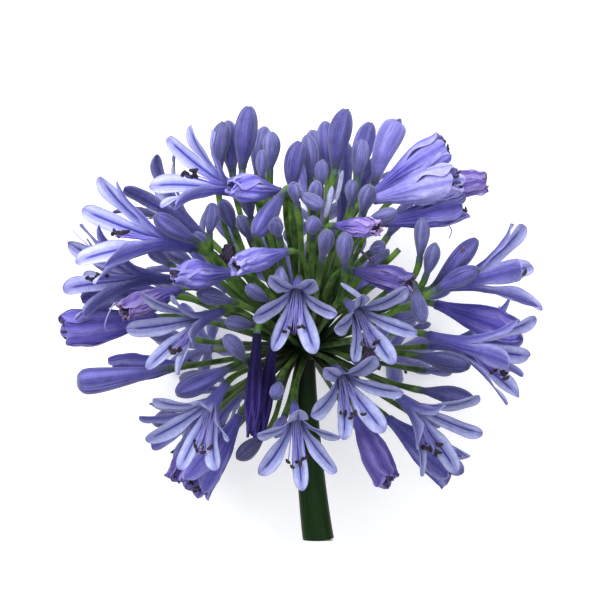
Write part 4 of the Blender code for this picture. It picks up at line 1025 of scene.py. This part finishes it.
class Nodes:
    """A short way to write a material's node tree."""

    def __init__(self, name, roughness):
        self.material = bpy.data.materials.new(name)
        self.material.use_nodes = True
        self.tree = self.material.node_tree
        self.shader = self.tree.nodes["Principled BSDF"]
        self.shader.inputs["Roughness"].default_value = roughness

    def new(self, kind, inputs=(), **settings):
        """A node of one kind, with what goes into its inputs, which are called by name or number."""
        node = self.tree.nodes.new("ShaderNode" + kind)
        for name, value in settings.items():
            setattr(node, name, value)
        for key, value in dict(inputs).items():
            self.put(node.inputs[key], value)
        return node

    def put(self, socket, value):
        """Into an input goes another node's output, a colour as text, or a plain value."""
        if isinstance(value, bpy.types.NodeSocket):
            self.tree.links.new(value, socket)
        else:
            socket.default_value = linear(value) if isinstance(value, str) else value

    def math(self, operation, a, b=0.0, c=0.0):
        return self.new("Math", {0: a, 1: b, 2: c}, operation=operation).outputs[0]

    def times(self, a, b):
        return self.math("MULTIPLY", a, b)

    def larger(self, a, b):
        return self.math("MAXIMUM", a, b)

    def vector_math(self, operation, inputs):
        return self.new("VectorMath", inputs, operation=operation).outputs[0]

    def smooth(self, value, low, high, start=0.0, end=1.0):
        """From start at low to end at high, along a smooth step."""
        inputs = dict(enumerate((value, low, high, start, end)))
        return self.new("MapRange", inputs, interpolation_type="SMOOTHSTEP").outputs[0]

    def mix(self, share, under, over):
        return self.new("Mix", {6: under, 7: over, "Factor": share}, data_type="RGBA").outputs[2]

    def layers(self, colour, *layers):
        """A colour with others laid over it, each by its share."""
        for share, over in layers:
            colour = self.mix(share, colour, over)
        return colour

    def ramp(self, value, stops):
        node = self.new("ValToRGB", {0: value})
        elements = node.color_ramp.elements
        while len(elements) < len(stops):
            elements.new(0.5)
        for element, (place, colour) in zip(elements, stops):
            element.position = place
            element.color = linear(colour)
        return node.outputs[0]

    def marks(self):
        return self.new("Attribute", attribute_name="marks").outputs["Vector"]

    def mark_parts(self):
        """The marks one by one: along, across and inner."""
        return tuple(self.new("SeparateXYZ", {0: self.marks()}).outputs)

    def place(self):
        return self.new("TexCoord").outputs["Object"]

    def noise_at(self, vector, scale, detail):
        return self.new("TexNoise", {"Vector": vector, "Scale": scale, "Detail": detail}).outputs["Fac"]

    def noise(self, scale, detail=2.0, stretch=(1.0, 1.0, 1.0)):
        mapping = self.new("Mapping", {"Vector": self.place(), "Scale": stretch})
        return self.noise_at(mapping.outputs[0], scale, detail)

    def streaks(self, along, across, detail=3.0):
        """Noise drawn out along a petal, different on each one."""
        apart = self.vector_math("SCALE", {0: self.place(), "Scale": 90.0})
        drawn = self.vector_math("MULTIPLY_ADD", {0: self.marks(), 1: (along, across, 3.0), 2: apart})
        return self.noise_at(drawn, 1.0, detail)

    def streaks_around(self, along, around, detail=3.0):
        """Noise drawn out along a bud or stalk, without a seam where its sides meet."""
        drawn = self.vector_math("MULTIPLY", {0: self.marks(), 1: (along, around, around)})
        apart = self.vector_math("MULTIPLY_ADD", {0: self.place(), 1: (60.0, 60.0, 60.0), 2: drawn})
        return self.noise_at(apart, 1.0, detail)

    def bump(self, height, distance, strength=0.5):
        bump = self.new("Bump", {"Strength": strength, "Distance": distance, "Height": height})
        self.put(self.shader.inputs["Normal"], bump.outputs[0])

    def toned(self, colour, mottle):
        """The colour, a little lighter or darker by a fine mottle and by the piece's tone, painted light and
        shade included.
        """
        tone = self.new("Attribute", attribute_name="tone").outputs["Fac"]
        light = self.math("MULTIPLY_ADD", tone, 0.16, 1.0)
        light = self.math("ADD", light, self.smooth(mottle, 0.3, 0.7, -0.1, 0.1))
        return self.vector_math("SCALE", {0: colour, "Scale": light})

    def finish(self, colour, through=None, gloss=0.5, sheen=0.0):
        """The finished material. `through` is how much light passes through the flesh, and how far."""
        self.put(self.shader.inputs["Base Color"], colour)
        self.shader.inputs["Specular IOR Level"].default_value = gloss
        self.shader.inputs["Sheen Weight"].default_value = sheen
        if through:
            self.shader.inputs["Subsurface Weight"].default_value = through[0]
            self.shader.inputs["Subsurface Scale"].default_value = through[1]
            self.shader.inputs["Subsurface Radius"].default_value = (0.8, 0.75, 1.0)
        return self.material


# The colours of each kind of petal: its face, edges, midline, back, tube, foot, throat and tip
PALETTES = {
    "star": "8e94c6 aab0dc 363488 6868ae 4c4c94 303264 8084b6 8884c0",
    "blue": "9295d0 b2b5e8 3a368e 6a68b4 4c4a98 2e2e66 8082be 8680c4",
    "lilac": "b0aef0 c0bef6 5c58b2 a8a5ea 8682d4 444080 8a86d2 b0aaec",
    "closing": "8882d2 b0aae8 3e3890 6e69c0 504ca0 323068 6a66b2 887eca",
    "violet": "786cc6 a096e2 342c80 665cb8 4c469c 302e64 625aaa 705aa8",
    "faded": "7062b4 ac9ce0 302668 5c50a4 403884 2c285a 60549c 402850",
    "pink": "9282c6 c0aee4 4c3a8a 7e6cba 50489c 34306a 8070b0 84507c",
    "dark": "362870 5c4ea6 120c2c 2c2066 1e1648 16182c 221950 241234",
    "pale": "8a86cc b6b4ec 48429e 807cca 5c58ae 3a3876 807cc0 7060ac",
}


def petal_material(name):
    """A petal: a dark line along its middle, fine streaks, pale lanes, a violet back and a darker tube."""
    face, edge, stripe, back, tube, foot, throat, tip = PALETTES[name].split()
    make = Nodes("petal_" + name, 0.55)
    along, across, inner = make.mark_parts()
    fibres = make.streaks(4.0, 40.0)
    broad = make.streaks(3.0, 7.0, 2.0)
    off_middle = make.math("ABSOLUTE", across)
    aside = make.math("ADD", off_middle, make.math("MULTIPLY_ADD", broad, 0.14, -0.07))
    reach = make.times(make.smooth(along, 0.3, 0.42), make.smooth(along, 0.86, 0.97, 1.0, 0.0))
    line_edge = 0.24 if name == "blue" else 0.19
    line = make.times(make.smooth(aside, 0.06, line_edge, 1.0, 0.0), reach)
    halo = make.times(make.smooth(aside, 0.1, 0.42, 0.32, 0.0), reach)
    veins = make.smooth(fibres, 0.49, 0.66, 0.0, 0.56)
    rim = make.smooth(off_middle, 0.86, 1.0, 0.0, 0.42)
    front = make.layers(
        face,
        (make.smooth(aside, 0.25, 0.7), edge),
        (make.smooth(along, 0.46, 0.36, 0.0, 0.85), throat),
        (make.smooth(along, 0.93, 1.0, 0.0, 0.7), tip),
        (make.larger(make.larger(line, halo), make.larger(veins, rim)), stripe))
    keel = make.times(make.smooth(aside, 0.04, 0.26, 0.6, 0.0), make.smooth(along, 0.12, 0.5))
    rear = make.layers(
        make.ramp(along, ((0.0, foot), (0.08, tube), (0.34, tube), (0.62, back), (1.0, back))),
        (make.times(make.smooth(aside, 0.3, 1.0), make.smooth(along, 0.3, 0.6, 0.05, 0.5)), edge),
        (make.larger(keel, make.times(veins, 1.3)), stripe))
    make.bump(make.math("ADD", make.times(fibres, -1.0), make.times(broad, -0.7)), 0.0006, 0.45)
    colour = make.toned(make.mix(inner, rear, front), make.noise(520.0, 3.0))
    if name == "dark":
        return make.finish(colour, (0.15, 0.0014), gloss=0.1)
    return make.finish(colour, (0.15, 0.0014), gloss=0.3, sheen=0.08)


def thread_material():
    """Filaments and styles: pale violet, darker towards the end."""
    make = Nodes("filament", 0.45)
    stops = ((0.0, "c4c6e2"), (0.45, "a09ce2"), (0.8, "7c6ec8"), (1.0, "543e8c"))
    colour = make.ramp(make.mark_parts()[0], stops)
    return make.finish(make.toned(colour, make.noise(700.0)), (0.15, 0.0008))


def anther_material():
    """Anthers: nearly black, with painted plum highlights in patches and a few grains of ochre pollen."""
    make = Nodes("anther", 0.6)
    grain = make.noise(2600.0, 3.0)
    # Painted highlights: plum patches laid by noise; the ochre grains are pollen
    colour = make.layers("0e0a12", (make.smooth(grain, 0.4, 0.62), "2e1e30"),
                         (make.smooth(grain, 0.66, 0.74, 0.0, 0.4), "78583e"))
    make.bump(grain, 0.0002, 0.6)
    return make.finish(colour)


def bud_material(name, colours):
    """A bud: three outer petals with pale middles and edges, dark seams between them, and a greenish foot.
    Its colours are those of its body, its light and its dark streaks, and its tip."""
    body, light, dark, tip = colours.split()
    make = Nodes(name, 0.55)
    along, cosine, _ = make.mark_parts()
    fibres = make.streaks_around(2.2, 8.0)
    broad = make.streaks_around(1.0, 2.6, 2.0)
    cube = make.times(make.times(cosine, cosine), cosine)
    thrice = make.math("MULTIPLY_ADD", cube, 4.0, make.times(cosine, -3.0))
    thrice = make.math("ADD", thrice, make.math("MULTIPLY_ADD", broad, 0.6, -0.3))
    length = make.times(make.smooth(along, 0.08, 0.4), make.smooth(along, 0.98, 0.8))
    middle = make.smooth(thrice, 0.6, 1.05, 0.0, 0.42)
    edges = make.times(make.smooth(thrice, -0.74, -0.88, 0.0, 0.42), make.smooth(thrice, -1.02, -0.92))
    seam = make.smooth(thrice, -0.95, -1.03, 0.0, 0.8)
    colour = make.layers(
        body,
        (make.smooth(make.noise(170.0, 3.0), 0.35, 0.7, 0.0, 0.6), dark),
        (make.times(make.larger(middle, edges), length), light),
        (make.times(seam, length), dark),
        (make.smooth(fibres, 0.5, 0.7, 0.0, 0.5), dark),
        (make.smooth(fibres, 0.46, 0.3, 0.0, 0.3), light),
        (make.smooth(along, 0.86, 1.0, 0.0, 0.7), tip),
        (make.smooth(along, 0.15, 0.0, 0.0, 0.75), "32423a"))
    make.bump(make.math("ADD", fibres, broad), 0.0005, 0.5)
    return make.finish(make.toned(colour, make.noise(1200.0)), (0.08, 0.0012), gloss=0.25, sheen=0.2)


def stalk_material():
    """Pedicels: fresh green, with painted shade at the root, yellower in places, violet at the joint."""
    make = Nodes("pedicel", 0.5)
    along = make.mark_parts()[0]
    colour = make.layers(
        "2a4a16",
        (make.smooth(make.noise(160.0), 0.35, 0.65), "5a7c32"),
        # Painted shade: darkest at the root, in the shaded middle of the head
        (make.smooth(along, 0.05, 0.66, 0.95, 0.0), "081605"),
        (make.smooth(along, 0.93, 1.0, 0.0, 0.75), "3e4268"))
    make.bump(make.streaks_around(1.5, 6.0), 0.0003, 0.4)
    return make.finish(make.toned(colour, make.noise(600.0)), (0.08, 0.001), gloss=0.3)


def scape_material():
    """The scape: deep green with fine paler streaks along it, and painted shade towards the head."""
    make = Nodes("scape", 0.5)
    streak = make.streaks_around(1.2, 11.0)
    cloud = make.noise(90.0, 3.0, (1.0, 0.25, 1.0))
    colour = make.layers(
        "081d04",
        (make.smooth(cloud, 0.35, 0.7), "0f2a08"),
        (make.smooth(streak, 0.5, 0.72, 0.0, 0.5), "1c3e12"),
        # Painted shade: darker towards the head, in whose shade the scape's top lies
        (make.smooth(make.mark_parts()[0], 0.6, 1.0, 0.0, 0.8), "071005"))
    make.bump(streak, 0.0003, 0.5)
    return make.finish(make.toned(colour, make.noise(500.0)), gloss=0.12)


def dry_material(name, body, dark):
    """A papery or withered scrap."""
    make = Nodes(name, 0.7)
    folds = make.streaks_around(3.0, 5.0)
    colour = make.mix(make.smooth(folds, 0.35, 0.65), body, dark)
    make.bump(folds, 0.0006, 0.6)
    return make.finish(make.toned(colour, make.noise(700.0)))


def cut_material():
    """The cut end: pale green pith with darker strands."""
    make = Nodes("cut", 0.5)
    dots = make.noise(1500.0, 1.0)
    make.bump(dots, 0.0002, 0.5)
    return make.finish(make.mix(make.smooth(dots, 0.55, 0.7), "a8b678", "688246"))


# What some florets and buds have of their own, by the number in their node's name: the open florets that are
# bluer, how blunt a bud is, and of stamens how bold their anthers are and how far they sag and rise
BLUE_STARS = range(8, 15)
BLUNT_BUDS = {6: 0.6, 12: 0.9}
OWN_STAMENS = {8: (1.35, 0.2, 4.0), 9: (1.2, 0.15, 4.0), 11: (1.2, 0.3, 4.0), 13: (1.1, 0.3, 3.0),
               14: (1.1, 0.7, 2.0), 15: (1.15, 1.0, 0.0)}
PALE_BUD, SPOTTED_BUD = 6, 8

# One small bud, counted from 0, is nearly black
DARK_SMALL_BUD = 15
DARKEST_TONE = -3.0

# Stalks above the receptacle catch the light, and those below it hang in the head's shade
UPPER_STALK_TONE, LOWER_STALK_TONE = 0.6, -2.2
STALK_VARIETY, SMALL_BUD_VARIETY = 0.6, 1.2

# Lighter or darker than the rest of its kind in the photograph: painted shade on those lying back in the
# head's shade, painted light on those in the light, and in part their own colour
OWN_TONES = {
    "bud": {8: -0.6, 9: -1.0, 10: -2.9, 11: -2.3, 12: 0.6},
    "faded_floret": {3: 1.2, 4: 1.5, 5: 0.5, 6: -1.3},
    "open_floret": {8: 1.6, 9: 2.0, 10: -2.4, 12: -0.9},
    "closing_floret": {1: 2.6, 3: 0.2, 4: 0.3, 5: 1.8, 6: 1.2, 7: 0.1, 8: -0.3},
}
OWN_PALETTES = {
    "open_floret": dict.fromkeys(BLUE_STARS, "blue"),
    "closing_floret": {3: "violet", 5: "violet", 6: "pale", 7: "lilac", 9: "blue"},
    "faded_floret": {1: "pink", 2: "pink", 3: "pale", 4: "pink", 7: "dark", 8: "dark"},
}
KIND_PALETTES = {"open": "star", "closing": "closing", "faded": "faded"}


def build_head():
    """Every fine piece of the head, each on the node it stands for."""
    blooms = all_blooms()
    spread_roots(blooms)
    pack_head(blooms)
    petals = {name: petal_material(name) for name in PALETTES}
    thread, anther, stalk = thread_material(), anther_material(), stalk_material()
    violet_bud = bud_material("bud", "524f9a 8080c2 363470 52547a")
    small_bud = bud_material("small_bud", "5c5c98 8c8fc2 3f4070 606782")
    pale_bud = bud_material("pale_bud", "7672be a2a0e2 5c58a2 8482c4")
    strip = dry_material("papery", "a8accc", "787ca8")
    withered = dry_material("withered", "4a345c", "1e142a")
    bruise = dry_material("bruise", "684236", "4e323c")
    draw = random.Random(SEED)
    counts = Counter()
    stalks, buds, scraps = Piece("stalks"), Piece("small_buds"), Piece("scraps")
    add_scape(stalks, 0, 2)
    for bloom in blooms:
        tone = draw.uniform(-1, 1)
        is_upper = bloom.base[1] > 0
        stalks.tone = STALK_VARIETY * tone + (UPPER_STALK_TONE if is_upper else LOWER_STALK_TONE)
        add_pedicel(stalks, bloom, 1)
        if bloom.fused:
            is_dark = counts["small"] == DARK_SMALL_BUD
            buds.tone = DARKEST_TONE if is_dark else SMALL_BUD_VARIETY * tone
            add_bud(buds, bloom, draw, 0)
            counts["small"] += 1
            continue
        look = LOOKS[bloom.kind]
        name = "bud" if look == "bud" else look + "_floret"
        counts[name] += 1
        number = counts[name]
        node = f"{name}_{number:02d}"
        piece = Piece(node + "_fine")
        # A piece's own tone brings its painted light and shade, and in part its own colour
        piece.tone = OWN_TONES[name].get(number, tone)
        if look == "bud":
            add_bud(piece, bloom, draw, 0, BLUNT_BUDS.get(number, 0.0), number == SPOTTED_BUD)
            piece.finish([pale_bud if number == PALE_BUD else violet_bud, bruise], [node], look)
            continue
        habit = HABITS[bloom.kind]
        if look == "closing":
            habit = habit._replace(**OWN_HABITS.get(number, {}))
        for tepal in range(TEPALS):
            add_petal(piece, bloom, tepal, draw, habit)
        add_joint(piece, bloom)
        if FORMS[bloom.kind].filaments:
            add_stamens(piece, bloom, draw, *OWN_STAMENS.get(number, ()))
        elif bloom.kind != "hanging":
            add_shrunken_stamens(piece, bloom, draw)
        palette = OWN_PALETTES[name].get(number, KIND_PALETTES[look])
        piece.finish([petals[palette], thread, anther], [node], look)
    add_threads(scraps, draw)
    scraps.finish([stalk, thread, strip, withered], ["scape_and_pedicels"], "faded")
    stalks.finish([scape_material(), stalk, cut_material()], ["scape_and_pedicels"], "green")
    buds.finish([small_bud], ["scape_and_pedicels"], "bud")


# The stage: metres, watts, and the camera's place in millimetres from the receptacle
FLOOR_REACH = 3.0
FLOOR_COLOUR, FLOOR_GLOW = (0.92, 0.92, 0.93, 1.0), 0.28
LIGHTS = {"key": ((-0.35, 0.75, 1.0), 1.0, 20.0), "front": ((0.3, -0.2, 1.3), 1.5, 9.0)}
SKY_COLOUR, SKY_STRENGTH = (0.95, 0.97, 1.0, 1.0), 0.34
CAMERA_PLACE = (-2.0, 18.0, 1000.0)
LENS, SENSOR = 150.0, 36.0


def add_floor():
    """A plain pale surface under the head, with a faint glow: painted light that keeps the head's shadow on
    it pale.
    """
    mesh = bpy.data.meshes.new("floor")
    corners = [(x * FLOOR_REACH, y * FLOOR_REACH, 0) for x, y in ((-1, -1), (1, -1), (1, 1), (-1, 1))]
    mesh.from_pydata(corners, [], [(0, 1, 2, 3)])
    make = Nodes("floor", 0.9)
    # Painted light: the floor glows, lifting the head's shadow on it
    make.put(make.shader.inputs["Emission Color"], (1.0, 1.0, 1.0, 1.0))
    make.put(make.shader.inputs["Emission Strength"], FLOOR_GLOW)
    mesh.materials.append(make.finish(FLOOR_COLOUR, gloss=0.1))
    floor = link("floor", mesh)


def add_light(name, place, size, power):
    """A round soft light that shines on the receptacle."""
    light = bpy.data.lights.new(name, "AREA")
    light.shape = "DISK"
    light.size = size
    light.energy = power
    made = link(name, light)
    made.location = place
    aim = RECEPTACLE_PLACE * MM - place
    made.rotation_euler = Vector(aim).to_track_quat("-Z", "Y").to_euler()


def add_camera():
    """Straight above the head, which gives the photograph's view of it standing up."""
    camera = bpy.data.cameras.new("camera")
    camera.lens = LENS
    camera.sensor_width = SENSOR
    made = link("camera", camera)
    made.location = (RECEPTACLE_PLACE + CAMERA_PLACE) * MM
    bpy.context.scene.camera = made


def add_world():
    """Soft light from all round."""
    world = bpy.data.worlds.new("world")
    world.use_nodes = True
    background = world.node_tree.nodes["Background"]
    background.inputs["Color"].default_value = SKY_COLOUR
    background.inputs["Strength"].default_value = SKY_STRENGTH
    bpy.context.scene.world = world


build_head()
add_floor()
for light_name, settings in LIGHTS.items():
    add_light(light_name, *settings)
add_world()
add_camera()
bpy.context.scene.view_settings.view_transform = "Standard"
